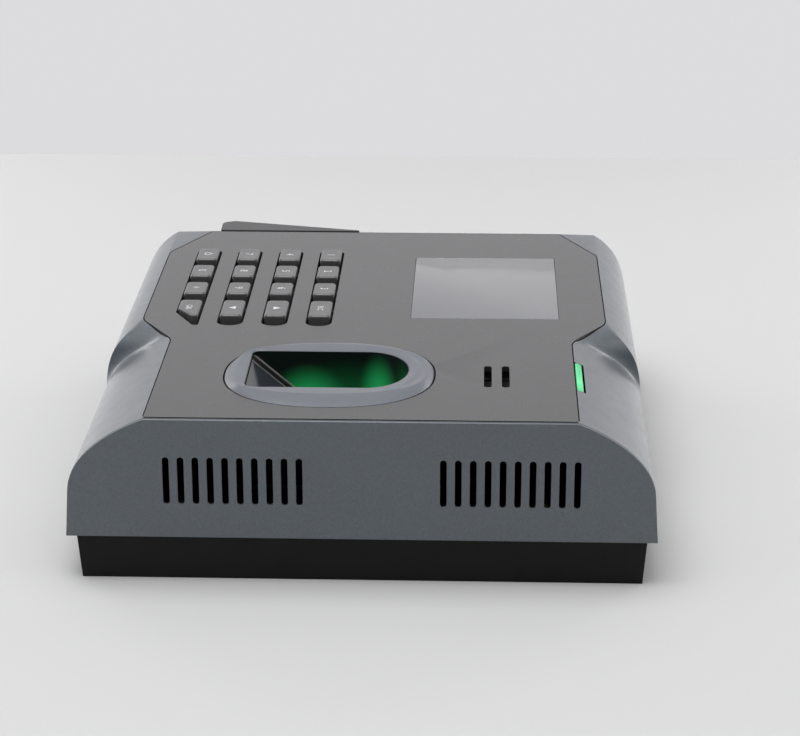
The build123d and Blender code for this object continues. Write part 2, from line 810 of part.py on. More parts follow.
with BuildPart() as status_board:
    add(
        circuit_board(
            (light_ears[0][0] - 3, light_ears[1][0] + 3, light_ear[1] - 3, light_y[1]),
            light_board_z,
            light_ears,
        )
    )
    with Locations((light_middle[0], light_middle[1], light_board_z + board_thick)):
        with GridLocations(light_length / 4, 1, 4, 1):
            Box(2.8, 2.0, lamp_room - 0.2, align=(Align.CENTER, Align.CENTER, Align.MIN))
status_board.part.label = "status_board"
export_step(status_board.part, "parts/status_board.step")


# Speaker behind its two slots
with BuildPart() as speaker_gasket:
    with BuildSketch(Plane.XY.offset(ceiling_z)):
        with Locations(speaker_at):
            Circle(speaker_radius)
            Circle(speaker_radius - gasket_width, mode=Mode.SUBTRACT)
    extrude(amount=-gasket_thick)
speaker_gasket.part.label = "speaker_gasket"
export_step(speaker_gasket.part, "parts/speaker_gasket.step")

with BuildPart() as speaker:
    axis = Axis((*speaker_at, 0), (0, 0, 1))
    with BuildSketch(Plane.XZ.offset(-speaker_at[1])):
        with BuildLine():
            low_z = speaker_top_z - speaker_depth
            Polyline(
                (speaker_at[0], speaker_top_z - 2.2),
                (speaker_at[0] + 4, speaker_top_z - 2.6),
                (speaker_at[0] + 11, speaker_top_z - 0.6),
                (speaker_at[0] + 11.6, speaker_top_z),
                (speaker_at[0] + speaker_radius, speaker_top_z),
                (speaker_at[0] + speaker_radius, speaker_top_z - 1.6),
                (speaker_at[0] + speaker_radius - 1, speaker_top_z - 1.6),
                (speaker_at[0] + magnet[0] + 2.5, low_z),
                (speaker_at[0] + magnet[0], low_z),
                (speaker_at[0] + magnet[0], low_z - magnet[1]),
                (speaker_at[0], low_z - magnet[1]),
                close=True,
            )
        make_face()
    revolve(axis=axis)
speaker.part.label = "speaker"
export_step(speaker.part, "parts/speaker.step")

with BuildPart() as speaker_retainer:
    with BuildSketch(Plane.XY.offset(retainer_top_z)):
        with Locations(speaker_at):
            Circle(speaker_radius)
            Rectangle(2 * speaker_ear, 2 * small_boss)
        with Locations(*speaker_ears):
            Circle(small_boss + 0.4)
        with Locations(speaker_at):
            Circle(magnet[0] + 0.3, mode=Mode.SUBTRACT)
        with Locations(*speaker_ears):
            Circle(small_screw[0] + screw_gap, mode=Mode.SUBTRACT)
    extrude(amount=-retainer_thick)
speaker_retainer.part.label = "speaker_retainer"
export_step(speaker_retainer.part, "parts/speaker_retainer.step")


# Rear housing: drafted tray with a bay for the wall plate and a connector opening
rear_shift = rear_draft_run = split_z * tan(radians(rear_draft))
recess_x = plate_x + plate_gap
recess_y = (plate_y[0] - plate_travel - plate_gap, plate_y[1] + plate_gap)
recess_middle = (0, sum(recess_y) / 2)
recess_size = (2 * recess_x, recess_y[1] - recess_y[0])
floor_top_z = bay_floor_z + rear_floor
standoffs = corners(main_board_area, 4.0)
slot_high = hook_gap + plate_thick / 2
slot_low = plate_travel + hook_gap + plate_thick / 2
with BuildPart() as rear_housing:
    low_left, low_right = rear_left + rear_draft_run, rear_right - rear_draft_run
    low_half = rear_half - rear_draft_run
    loft(
        sections=[
            plan_outline(0, low_left, low_right, low_half, rear_corner),
            plan_outline(split_z, rear_left, rear_right, rear_half, rear_corner),
        ],
        ruled=True,
    )
    lip_right = rear_right - rear_wall / 2
    extrude(
        plan_outline(split_z, rear_left + 0.4, lip_right, rear_half - 0.4, rear_corner),
        amount=rear_lip,
    )
    extrude(
        plan_outline(
            rear_floor,
            low_left + rear_wall,
            low_right - rear_wall,
            low_half - rear_wall,
            rear_corner - rear_wall,
        ),
        amount=face_z,
        mode=Mode.SUBTRACT,
    )
    # Raised floor over the wall plate
    with BuildSketch(Plane.XY):
        with Locations(recess_middle):
            Rectangle(recess_size[0] + 2 * rear_floor, recess_size[1] + 2 * rear_floor)
    extrude(amount=floor_top_z)
    with BuildSketch(Plane.XY):
        with Locations(recess_middle):
            Rectangle(*recess_size)
    extrude(amount=bay_floor_z, mode=Mode.SUBTRACT)
    # Slots for the plate's hooks and the opening of the connectors
    with BuildSketch(Plane.XY.offset(bay_floor_z)):
        for x in (-hook_x, hook_x):
            for y in hook_y:
                with Locations((x, y + (slot_high - slot_low) / 2)):
                    Rectangle(hook_width + 2 * hook_gap, slot_high + slot_low)
        with Locations((0, sum(connector_bay[1:]) / 2)):
            RectangleRounded(connector_bay[0], connector_bay[2] - connector_bay[1], 2)
    extrude(amount=2 * rear_floor, mode=Mode.SUBTRACT)
    # Columns of the case screws and the stands of the main board
    with BuildSketch(Plane.XY):
        with Locations(*case_screws):
            Circle(column_radius)
    extrude(amount=column_top)
    with Locations(*[Location((x, y, 0), (180, 0, 0)) for x, y in case_screws]):
        CounterBoreHole(screw_radius + screw_gap, screw_head[0] + screw_gap, screw_seat_z)
    with BuildSketch(Plane.XY.offset(rear_floor / 2)):
        with Locations(*[(x, y) for x, y in standoffs if abs(x) > recess_x]):
            Circle(small_boss)
    extrude(amount=main_board_z - rear_floor / 2)
    with BuildSketch(Plane.XY.offset(bay_floor_z + 0.5)):
        with Locations(*[(x, y) for x, y in standoffs if abs(x) < recess_x]):
            Circle(small_boss)
    extrude(amount=main_board_z - bay_floor_z - 0.5)
    with BuildSketch(Plane.XY.offset(main_board_z)):
        with Locations(*standoffs):
            Circle(small_screw[0])
    extrude(amount=-small_screw[2], mode=Mode.SUBTRACT)
    # Guide of the tamper plunger
    with BuildSketch(Plane.XY):
        with Locations(plunger_at):
            Circle(plunger_radius + guide_wall)
    extrude(amount=guide_top_z)
    with BuildSketch(Plane.XY):
        with Locations(plunger_at):
            Circle(plunger_radius + plunger_gap)
    extrude(amount=guide_top_z, mode=Mode.SUBTRACT)
rear_housing.part.label = "rear_housing"
export_step(rear_housing.part, "parts/rear_housing.step")

with BuildPart() as housing_screws:
    with BuildSketch(Plane.XY.offset(screw_seat_z)):
        with Locations(*case_screws):
            Circle(screw_head[0])
    extrude(amount=-screw_head[1])
    with BuildSketch(Plane.XY.offset(screw_seat_z)):
        with Locations(*case_screws):
            Circle(boss_hole - 0.05)
    extrude(amount=screw_length)
housing_screws.part.label = "housing_screws"
export_step(housing_screws.part, "parts/housing_screws.step")


# Wall plate: bent steel, its hooks reach through the housing's slots
nose_z = floor_top_z + hook_gap
with BuildPart() as wall_plate:
    with BuildSketch(Plane.XY):
        with Locations((0, sum(plate_y) / 2)):
            RectangleRounded(2 * plate_x, plate_y[1] - plate_y[0], 5)
        with Locations((0, sum(plate_window[1:]) / 2)):
            RectangleRounded(plate_window[0], plate_window[2] - plate_window[1], 3, mode=Mode.SUBTRACT)
        with GridLocations(*hole_spacing, 2, 2):
            Circle(hole_radius, mode=Mode.SUBTRACT)
    extrude(amount=plate_thick)
    for x in (-hook_x, hook_x):
        for y in hook_y:
            stem = y - plate_thick / 2
            with BuildSketch(Plane.YZ.offset(x - hook_width / 2)):
                with BuildLine():
                    Polyline(
                        (stem, 0),
                        (stem, nose_z + plate_thick),
                        (stem + plate_thick + hook_reach, nose_z + plate_thick),
                        (stem + plate_thick + hook_reach, nose_z),
                        (stem + plate_thick, nose_z),
                        (stem + plate_thick, 0),
                        close=True,
                    )
                make_face()
            extrude(amount=hook_width)
wall_plate.part.label = "wall_plate"
export_step(wall_plate.part, "parts/wall_plate.step")


# Tamper plunger and its switch
with BuildPart() as tamper_plunger:
    with BuildSketch(Plane.XY.offset(plunger_low_z)):
        with Locations(plunger_at):
            Circle(plunger_radius)
    extrude(amount=guide_top_z + seat_gap - plunger_low_z)
    with BuildSketch(Plane.XY.offset(guide_top_z + seat_gap)):
        with Locations(plunger_at):
            Circle(plunger_radius + 1)
    extrude(amount=1.2)
    with BuildSketch(Plane.XY.offset(guide_top_z + seat_gap)):
        with Locations(plunger_at):
            Circle(plunger_radius * 0.6)
    extrude(amount=plunger_top_z - guide_top_z - seat_gap)
tamper_plunger.part.label = "tamper_plunger"
export_step(tamper_plunger.part, "parts/tamper_plunger.step")

with BuildPart() as tamper_switch:
    with Locations((*plunger_at, main_board_z)):
        Box(6, 6, 3.6, align=(Align.CENTER, Align.CENTER, Align.MAX))
    with Locations((*plunger_at, main_board_z - 3.6)):
        Cylinder(1.5, 0.6, align=(Align.CENTER, Align.CENTER, Align.MAX))
tamper_switch.part.label = "tamper_switch"
export_step(tamper_switch.part, "parts/tamper_switch.step")


# Main board and what stands on it
main_board = circuit_board(main_board_area, main_board_z, standoffs)
main_board.label = "main_board"
export_step(main_board, "parts/main_board.step")
board_top_z = main_board_z + board_thick

board_screws = Compound(
    [
        small_screws(standoffs, board_top_z, -1),
        small_screws(keypad_ears, keypad_board_z, 1),
        small_screws(lcd_ears, lcd_low_z - carrier_thick, 1),
        small_screws(speaker_ears, retainer_top_z - retainer_thick, 1),
        small_screws(light_ears, light_board_z, 1),
    ]
)
board_screws.label = "board_screws"
export_step(board_screws, "parts/board_screws.step")

with BuildPart() as shield_can:
    with Locations((-30, 22, board_top_z)):
        Box(44, 32, 3.2, align=(Align.CENTER, Align.CENTER, Align.MIN))
    fillet(shield_can.edges().filter_by(Axis.Z), 1.5)
shield_can.part.label = "shield_can"
export_step(shield_can.part, "parts/shield_can.step")

with BuildPart() as board_chips:
    for x, y, length, width, height in chips:
        with Locations((x, y, board_top_z)):
            Box(length, width, height, align=(Align.CENTER, Align.CENTER, Align.MIN))
    for y in header_y:
        with Locations((header_x, y, board_top_z)):
            Box(*header, align=(Align.CENTER, Align.CENTER, Align.MIN))
board_chips.part.label = "board_chips"
export_step(board_chips.part, "parts/board_chips.step")

with BuildPart() as relay:
    with Locations((-66, -28, board_top_z)):
        Box(19.0, 15.5, 15.0, align=(Align.CENTER, Align.CENTER, Align.MIN))
    chamfer(relay.faces().sort_by(Axis.Z)[-1].edges(), 0.6)
relay.part.label = "relay"
export_step(relay.part, "parts/relay.step")

with BuildPart() as capacitors:
    with Locations((-74, 8, board_top_z)):
        with GridLocations(1, 12, 1, 3):
            Cylinder(4, 11, align=(Align.CENTER, Align.CENTER, Align.MIN))
capacitors.part.label = "capacitors"
export_step(capacitors.part, "parts/capacitors.step")

with BuildPart() as cell_holder:
    with Locations((*cell_at, board_top_z)):
        Cylinder(cell[0] + 1.6, 3.6, align=(Align.CENTER, Align.CENTER, Align.MIN))
    with Locations((*cell_at, board_top_z + 1)):
        Cylinder(cell[0] + 0.1, 3.6, align=(Align.CENTER, Align.CENTER, Align.MIN), mode=Mode.SUBTRACT)
cell_holder.part.label = "cell_holder"
export_step(cell_holder.part, "parts/cell_holder.step")

with BuildPart() as coin_cell:
    with Locations((*cell_at, board_top_z + 1)):
        Cylinder(cell[0], cell[1], align=(Align.CENTER, Align.CENTER, Align.MIN))
    chamfer(coin_cell.faces().sort_by(Axis.Z)[-1].edges(), 0.4)
coin_cell.part.label = "coin_cell"
export_step(coin_cell.part, "parts/coin_cell.step")

# Connectors hang under the main board, over the opening of the bay
with BuildPart() as network_jack:
    with Locations((jack_x, connector_y, main_board_z)):
        Box(*jack_size, align=(Align.CENTER, Align.CENTER, Align.MAX))
    with Locations((jack_x, connector_y - 1, main_board_z - jack_size[2])):
        Box(*jack_mouth, align=(Align.CENTER, Align.CENTER, Align.MIN), mode=Mode.SUBTRACT)
network_jack.part.label = "network_jack"
export_step(network_jack.part, "parts/network_jack.step")

with BuildPart() as power_jack:
    with Locations((power_x, connector_y, main_board_z)):
        Box(9.0, 11.0, 14.0, align=(Align.CENTER, Align.CENTER, Align.MAX))
    with Locations((power_x, connector_y, main_board_z - 14.0)):
        Cylinder(2.8, 9.0, align=(Align.CENTER, Align.CENTER, Align.MIN), mode=Mode.SUBTRACT)
        Cylinder(1.05, 9.0, align=(Align.CENTER, Align.CENTER, Align.MIN))
power_jack.part.label = "power_jack"
export_step(power_jack.part, "parts/power_jack.step")

with BuildPart() as terminal_block:
    with Locations((terminal_x, connector_y, main_board_z)):
        Box(terminal_count * terminal_pitch, 8.4, 12.0, align=(Align.CENTER, Align.CENTER, Align.MAX))
    with Locations((terminal_x, connector_y, main_board_z - 12.0)):
        with GridLocations(terminal_pitch, 1, terminal_count, 1):
            Box(2.4, 2.6, 8.0, align=(Align.CENTER, Align.CENTER, Align.MIN), mode=Mode.SUBTRACT)
terminal_block.part.label = "terminal_block"
export_step(terminal_block.part, "parts/terminal_block.step")


# Ribbon cables from the display and the keypad down to the main board
def ribbon(x, width, points):
    with BuildPart() as cable:
        with BuildSketch(Plane.YZ.offset(x)):
            with BuildLine():
                FilletPolyline(*points, radius=1.5)
            trace(line_width=tape_thick)
        extrude(amount=width / 2, both=True)
    return cable.part


tape_z = board_top_z + header[2] + tape_thick / 2
lcd_tape_z = lcd_low_z - carrier_thick - tape_thick / 2
keypad_tape_z = keypad_board_z - tape_thick / 2
lcd_edge = window_at[1] - lcd_size[1] / 2
lcd_cable = ribbon(
    header_x,
    24,
    [
        (lcd_edge + 8, lcd_tape_z),
        (lcd_edge - 4.5, lcd_tape_z),
        (lcd_edge - 4.5, tape_z),
        (header_y[0] - 1, tape_z),
    ],
)
lcd_cable.label = "lcd_cable"
export_step(lcd_cable, "parts/lcd_cable.step")

keypad_cable = ribbon(
    header_x,
    12,
    [
        (header_y[1], keypad_tape_z),
        (header_y[1] + 7, keypad_tape_z),
        (header_y[1] + 7, tape_z),
        (header_y[1] - 1, tape_z),
    ],
)
keypad_cable.label = "keypad_cable"
export_step(keypad_cable, "parts/keypad_cable.step")


# Side port: a bay behind the left wall with a socket on its own small board
bay_left = case_left + wall
bay_right = bay_left + port_bay[0]
with BuildPart() as port_housing:
    with BuildSketch(Plane.YZ.offset(bay_left)):
        with Locations((sum(port_y) / 2, sum(door_z) / 2)):
            Rectangle(port_y[1] - port_y[0] + 2 * port_bay[1], door_z[1] - door_z[0])
    extrude(amount=port_bay[0])
    with BuildSketch(Plane.YZ.offset(bay_left)):
        with Locations((sum(port_y) / 2, sum(door_z) / 2)):
            Rectangle(port_y[1] - port_y[0], door_z[1] - door_z[0] - 2 * port_bay[1])
    extrude(amount=port_bay[0] - port_bay[1], mode=Mode.SUBTRACT)
    with BuildSketch(Plane.YZ.offset(bay_left)):
        with Locations(socket_at):
            Rectangle(socket_size[1] + 0.4, socket_size[2] + 0.4)
    extrude(amount=port_bay[0], mode=Mode.SUBTRACT)
    # Ledge under the socket's board
    with Locations((bay_right, socket_at[0], socket_at[1] - socket_size[2] / 2 - board_thick)):
        Box(8, 26, 2, align=(Align.MIN, Align.CENTER, Align.MAX))
port_housing.part.label = "port_housing"
export_step(port_housing.part, "parts/port_housing.step")

with BuildPart() as usb_socket:
    with BuildSketch(Plane.YZ.offset(socket_left)):
        with Locations(socket_at):
            Rectangle(socket_size[1], socket_size[2])
    extrude(amount=socket_size[0])
    with BuildSketch(Plane.YZ.offset(socket_left)):
        with Locations(socket_at):
            Rectangle(socket_size[1] - 0.8, socket_size[2] - 0.8)
        with Locations((socket_at[0], socket_at[1] + 1)):
            Rectangle(socket_size[1] - 2.4, 1.8, mode=Mode.SUBTRACT)
    extrude(amount=9, mode=Mode.SUBTRACT)
usb_socket.part.label = "usb_socket"
export_step(usb_socket.part, "parts/usb_socket.step")

socket_board_z = socket_at[1] - socket_size[2] / 2 - board_thick
socket_board = circuit_board(
    (bay_right, bay_right + 14, socket_at[0] - 13, socket_at[0] + 13), socket_board_z, []
)
socket_board.label = "socket_board"
export_step(socket_board, "parts/socket_board.step")


# Door of the side port: a hollow wedge, thin at its pin, thick at the finger end
door_right = case_left - door_gap
door_left = case_left - door_reach


with BuildPart() as usb_door:
    with BuildSketch(Plane.XY.offset(door_low_z)):
        with BuildLine():
            FilletPolyline(
                (door_right, door_ends[1]),
                (door_right - door_thin, door_ends[1]),
                (door_left, door_ends[0] + door_nose),
                (door_left + door_nose * 0.3, door_ends[0]),
                (door_right, door_ends[0]),
                radius=(0.1, 4.0, 2.5),
            )
            Line((door_right, door_ends[0]), (door_right, door_ends[1]))
        make_face()
    extrude(amount=door_top_z + door_lift - door_low_z)
    # Its top rises gently outwards
    with BuildSketch(Plane.XZ.offset(-door_ends[0] + 1)):
        with BuildLine():
            Polyline(
                (door_right + 1, door_top_z - door_lift / door_reach),
                (door_left, door_top_z + door_lift),
                (door_left - 1, door_top_z + 3 * door_lift),
                (door_right + 1, door_top_z + 3 * door_lift),
                close=True,
            )
        make_face()
    extrude(amount=door_ends[0] - door_ends[1] - 2, mode=Mode.SUBTRACT)
    # Hollow behind its skin
    with BuildSketch(Plane.XY.offset(door_low_z + door_skin)):
        with BuildLine():
            Polyline(
                (door_right + 0.5, door_hollow),
                (door_right - 0.3, door_hollow),
                (door_left + door_skin * 1.2, door_ends[0] + door_nose + door_skin * 0.4),
                (door_left + door_skin * 1.4, door_ends[0] + door_skin),
                (door_right + 0.5, door_ends[0] + door_skin),
                close=True,
            )
        make_face()
    extrude(amount=door_top_z - door_low_z - 2 * door_skin, mode=Mode.SUBTRACT)
    # Knuckle and the web that carries it
    knuckle_low = door_z[0] + knuckle_gap
    knuckle_height = door_z[1] - door_z[0] - 2 * knuckle_gap
    with BuildSketch(Plane.XY.offset(knuckle_low)):
        with Locations(pin_at):
            Circle(knuckle_radius)
        with BuildLine():
            Polyline(
                (door_right - door_thin / 2, door_ends[1] - 3),
                (door_right - door_thin / 2, door_ends[1]),
                (pin_at[0] - knuckle_radius * 0.8, pin_at[1]),
                (pin_at[0], pin_at[1]),
                (pin_at[0] - 0.2, door_ends[1] - 3),
                close=True,
            )
        make_face()
    extrude(amount=knuckle_height)
    with BuildSketch(Plane.XY.offset(knuckle_low)):
        with Locations(pin_at):
            Circle(pin_radius + pin_gap)
    extrude(amount=knuckle_height, mode=Mode.SUBTRACT)
usb_door.part.label = "usb_door"
export_step(usb_door.part, "parts/usb_door.step")

with BuildPart() as door_pin:
    with BuildSketch(Plane.XY.offset(door_z[0] - pin_grip + 1)):
        with Locations(pin_at):
            Circle(pin_radius)
    extrude(amount=door_z[1] - door_z[0] + 2 * pin_grip - 2)
door_pin.part.label = "door_pin"
export_step(door_pin.part, "parts/door_pin.step")
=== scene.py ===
# Fingerprint time terminal, lying on its back on a pale table.
import json
import math
import bmesh
import bpy
import numpy as np
from mathutils import Matrix, Vector


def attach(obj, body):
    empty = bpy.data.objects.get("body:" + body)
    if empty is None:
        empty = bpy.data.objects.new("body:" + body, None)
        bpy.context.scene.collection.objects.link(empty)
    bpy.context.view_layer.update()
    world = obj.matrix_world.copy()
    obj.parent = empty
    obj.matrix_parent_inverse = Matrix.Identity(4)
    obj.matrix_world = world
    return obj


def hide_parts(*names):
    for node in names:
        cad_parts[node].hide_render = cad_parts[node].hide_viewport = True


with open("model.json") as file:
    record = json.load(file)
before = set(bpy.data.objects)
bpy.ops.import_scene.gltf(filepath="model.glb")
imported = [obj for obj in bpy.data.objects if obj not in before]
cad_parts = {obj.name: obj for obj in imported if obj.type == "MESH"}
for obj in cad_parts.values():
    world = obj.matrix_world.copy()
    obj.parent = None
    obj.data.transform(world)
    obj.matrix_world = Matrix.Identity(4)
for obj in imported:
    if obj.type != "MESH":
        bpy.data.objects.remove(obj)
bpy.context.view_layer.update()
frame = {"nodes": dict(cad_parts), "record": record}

milli = 0.001

# Camera: low in front of the vented end, looking along the terminal
cameraSettings = {
    "place": (0.81628, 0.03829, 0.34283),
    "pitch": 20.5106,
    "yaw": 2.0379,
    "roll": -0.0978,
    "lens": 108.236,
    "sensor": 36.0,
}


def aimCamera(settings):
    pitch, yaw, roll = (math.radians(settings[k]) for k in ("pitch", "yaw", "roll"))
    forward = Vector((-math.cos(pitch) * math.cos(yaw), -math.cos(pitch) * math.sin(yaw), -math.sin(pitch)))
    level = Vector((-math.sin(yaw), math.cos(yaw), 0.0))
    upward = level.cross(forward)
    right = math.cos(roll) * level + math.sin(roll) * upward
    upward = right.cross(forward)
    data = bpy.data.cameras.new("mainCamera")
    data.lens = settings["lens"]
    data.sensor_width = settings["sensor"]
    data.clip_start = 0.01
    data.clip_end = 20
    camera = bpy.data.objects.new("mainCamera", data)
    bpy.context.scene.collection.objects.link(camera)
    turn = Matrix((right, upward, -forward)).transposed()
    camera.matrix_world = Matrix.Translation(settings["place"]) @ turn.to_4x4()
    bpy.context.scene.camera = camera


aimCamera(cameraSettings)
bpy.context.scene.view_settings.view_transform = "Standard"
print("camera placed")


# Small makers shared by the pieces

def gridFaces(rows, columns, wrapRows=False, wrapColumns=False):
    # Quads over a grid of points kept row by row; wrap joins the last line to the first
    i, j = np.meshgrid(
        np.arange(rows if wrapRows else rows - 1),
        np.arange(columns if wrapColumns else columns - 1),
        indexing="ij",
    )
    down, over = (i + 1) % rows, (j + 1) % columns
    quads = [i * columns + j, i * columns + over, down * columns + over, down * columns + j]
    return np.stack(quads, axis=-1).reshape(-1, 4)


def smoothly(mesh, angle):
    mesh.polygons.foreach_set("use_smooth", np.ones(len(mesh.polygons), dtype=bool))
    mesh.set_sharp_from_angle(angle=math.radians(angle))


def tidyMesh(mesh, mergeAt=2e-6, flatten=None):
    # Merges doubles, drops slivers and turns every face outwards
    work = bmesh.new()
    work.from_mesh(mesh)
    bmesh.ops.remove_doubles(work, verts=work.verts, dist=mergeAt)
    bmesh.ops.dissolve_degenerate(work, edges=work.edges, dist=mergeAt)
    if flatten:
        bmesh.ops.dissolve_limit(
            work, angle_limit=math.radians(flatten), verts=work.verts, edges=work.edges
        )
    bmesh.ops.recalc_face_normals(work, faces=work.faces)
    work.to_mesh(mesh)
    work.free()


def dress(piece, look, body, nodes=()):
    piece.data.materials.clear()
    piece.data.materials.append(look)
    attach(piece, body)
    if nodes:
        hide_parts(*nodes)
    return piece


def newPiece(name, points, faces, look, body, nodes=(), angle=35, tidy=True):
    mesh = bpy.data.meshes.new(name)
    places = (np.asarray(points, float).reshape(-1, 3) * milli).tolist()
    mesh.from_pydata(places, [], [list(map(int, f)) for f in faces])
    if tidy:
        tidyMesh(mesh)
    smoothly(mesh, angle)
    piece = bpy.data.objects.new(name, mesh)
    bpy.context.scene.collection.objects.link(piece)
    return dress(piece, look, body, nodes)


def settle(piece):
    # Turns the piece's modifiers into plain mesh
    graph = bpy.context.evaluated_depsgraph_get()
    mesh = bpy.data.meshes.new_from_object(piece.evaluated_get(graph))
    piece.modifiers.clear()
    piece.data = mesh


def bevelEdges(piece, width, segments=2, angle=40):
    bevel = piece.modifiers.new("edge", "BEVEL")
    bevel.width = width * milli
    bevel.segments = segments
    bevel.limit_method = "ANGLE"
    bevel.angle_limit = math.radians(angle)
    bevel.harden_normals = False
    return piece


def softened(name, node, look, width, angle=40, flatten=0.6):
    # A copy of a CAD node with its edges broken
    mesh = frame["nodes"][node].data.copy()
    mesh.name = name
    tidyMesh(mesh, 2e-6, flatten)
    smoothly(mesh, angle)
    piece = bpy.data.objects.new(name, mesh)
    bpy.context.scene.collection.objects.link(piece)
    dress(piece, look, bodyOf[node], (node,))
    return bevelEdges(piece, width, 2, angle)


bodyOf = {
    node: body for body, nodes in frame["record"]["behaviour"]["bodies"].items() for node in nodes
}


def roundedLoop(corners, radii, steps=8):
    # Closed polygon whose corners are arcs: each arc turns about the meeting of two inset sides
    points = np.array(corners, float)
    before, after = np.roll(points, 1, axis=0), np.roll(points, -1, axis=0)
    toBefore = (before - points) / np.linalg.norm(before - points, axis=1)[:, None]
    toAfter = (after - points) / np.linalg.norm(after - points, axis=1)[:, None]
    half = np.arccos(np.clip((toBefore * toAfter).sum(1), -1, 1)) / 2
    reach = np.array(radii, float) / np.tan(half)
    middle = toBefore + toAfter
    middle /= np.linalg.norm(middle, axis=1)[:, None]
    centre = points + middle * (np.array(radii, float) / np.sin(half))[:, None]
    start, end = points + toBefore * reach[:, None], points + toAfter * reach[:, None]
    a0 = np.arctan2(*(start - centre).T[::-1])
    turn = (np.arctan2(*(end - centre).T[::-1]) - a0 + np.pi) % (2 * np.pi) - np.pi
    share = np.linspace(0, 1, steps)
    angles = a0[:, None] + turn[:, None] * share[None, :]
    spokes = np.stack([np.cos(angles), np.sin(angles)], axis=-1)
    return (centre[:, None] + np.array(radii, float)[:, None, None] * spokes).reshape(-1, 2)


def outwardOf(loop):
    # Unit vectors that point out of a counter-clockwise loop, halfway between its two sides
    along = np.roll(loop, -1, axis=0) - np.roll(loop, 1, axis=0)
    along /= np.linalg.norm(along, axis=1)[:, None]
    return np.stack([along[:, 1], -along[:, 0]], axis=1)


def stackedLoops(loop, grows, heights):
    # The loop carried along a profile: grown by each step's amount at each step's height
    outward = outwardOf(loop)
    layers = [np.c_[loop + outward * g, np.full(len(loop), z)] for g, z in zip(grows, heights)]
    points = np.concatenate(layers)
    faces = gridFaces(len(grows), len(loop), wrapColumns=True)
    caps = [list(range(len(loop)))[::-1], [len(points) - len(loop) + i for i in range(len(loop))]]
    return points, list(map(list, faces)) + caps


# Finishes

def finish(name, look):
    # Principled surface: a slow shade, fine grain in colour, gloss and height, and paint flakes
    material = bpy.data.materials.new(name)
    material.use_nodes = True
    tree = material.node_tree
    shader = tree.nodes["Principled BSDF"]
    place = tree.nodes.new("ShaderNodeTexCoord").outputs["Object"]

    def noise(size, detail=3.0):
        node = tree.nodes.new("ShaderNodeTexNoise")
        node.inputs["Scale"].default_value = 1.0 / (size * milli)
        node.inputs["Detail"].default_value = detail
        tree.links.new(place, node.inputs["Vector"])
        return node.outputs["Fac"]

    def spread(value, low, high, fromLow=0.3, fromHigh=0.7):
        node = tree.nodes.new("ShaderNodeMapRange")
        for socket, number in zip(("From Min", "From Max", "To Min", "To Max"), (fromLow, fromHigh, low, high)):
            node.inputs[socket].default_value = number
        tree.links.new(value, node.inputs["Value"])
        return node.outputs["Result"]

    def shade(color, factor):
        node = tree.nodes.new("ShaderNodeVectorMath")
        node.operation = "SCALE"
        if isinstance(color, tuple):
            node.inputs[0].default_value = color
        else:
            tree.links.new(color, node.inputs[0])
        tree.links.new(factor, node.inputs["Scale"])
        return node.outputs["Vector"]

    vary = look.get("vary", 0.06)
    color = shade(look["color"], spread(noise(look.get("patch", 18.0)), 1 - vary, 1 + vary))
    grain = noise(look.get("grain", 0.5), 4.0)
    color = shade(color, spread(grain, 1 - vary / 2, 1 + vary / 2))
    if look.get("flakes"):
        cells = tree.nodes.new("ShaderNodeTexVoronoi")
        cells.inputs["Scale"].default_value = 1.0 / (look["flakeSize"] * milli)
        tree.links.new(place, cells.inputs["Vector"])
        split = tree.nodes.new("ShaderNodeSeparateColor")
        tree.links.new(cells.outputs["Color"], split.inputs["Color"])
        color = shade(color, spread(split.outputs["Red"], 1 - look["flakes"], 1 + look["flakes"], 0, 1))
    tree.links.new(color, shader.inputs["Base Color"])
    rough = look["rough"]
    wear = look.get("wear", 0.05)
    tree.links.new(spread(noise(look.get("smear", 7.0)), rough - wear, rough + wear), shader.inputs["Roughness"])
    bump = tree.nodes.new("ShaderNodeBump")
    bump.inputs["Strength"].default_value = look.get("relief", 0.15)
    bump.inputs["Distance"].default_value = look.get("depth", 0.02) * milli
    tree.links.new(grain, bump.inputs["Height"])
    tree.links.new(bump.outputs["Normal"], shader.inputs["Normal"])
    shader.inputs["Metallic"].default_value = look.get("metal", 0.0)
    shader.inputs["IOR"].default_value = look.get("ior", 1.5)
    shader.inputs["Specular IOR Level"].default_value = look.get("specular", 0.5)
    shader.inputs["Coat Weight"].default_value = look.get("coat", 0.0)
    shader.inputs["Coat Roughness"].default_value = look.get("coatRough", 0.1)
    if look.get("glow"):
        shader.inputs["Emission Color"].default_value = (*look["glowColor"], 1)
        shader.inputs["Emission Strength"].default_value = look["glow"]
    if look.get("clear"):
        shader.inputs["Transmission Weight"].default_value = look["clear"]
    return material


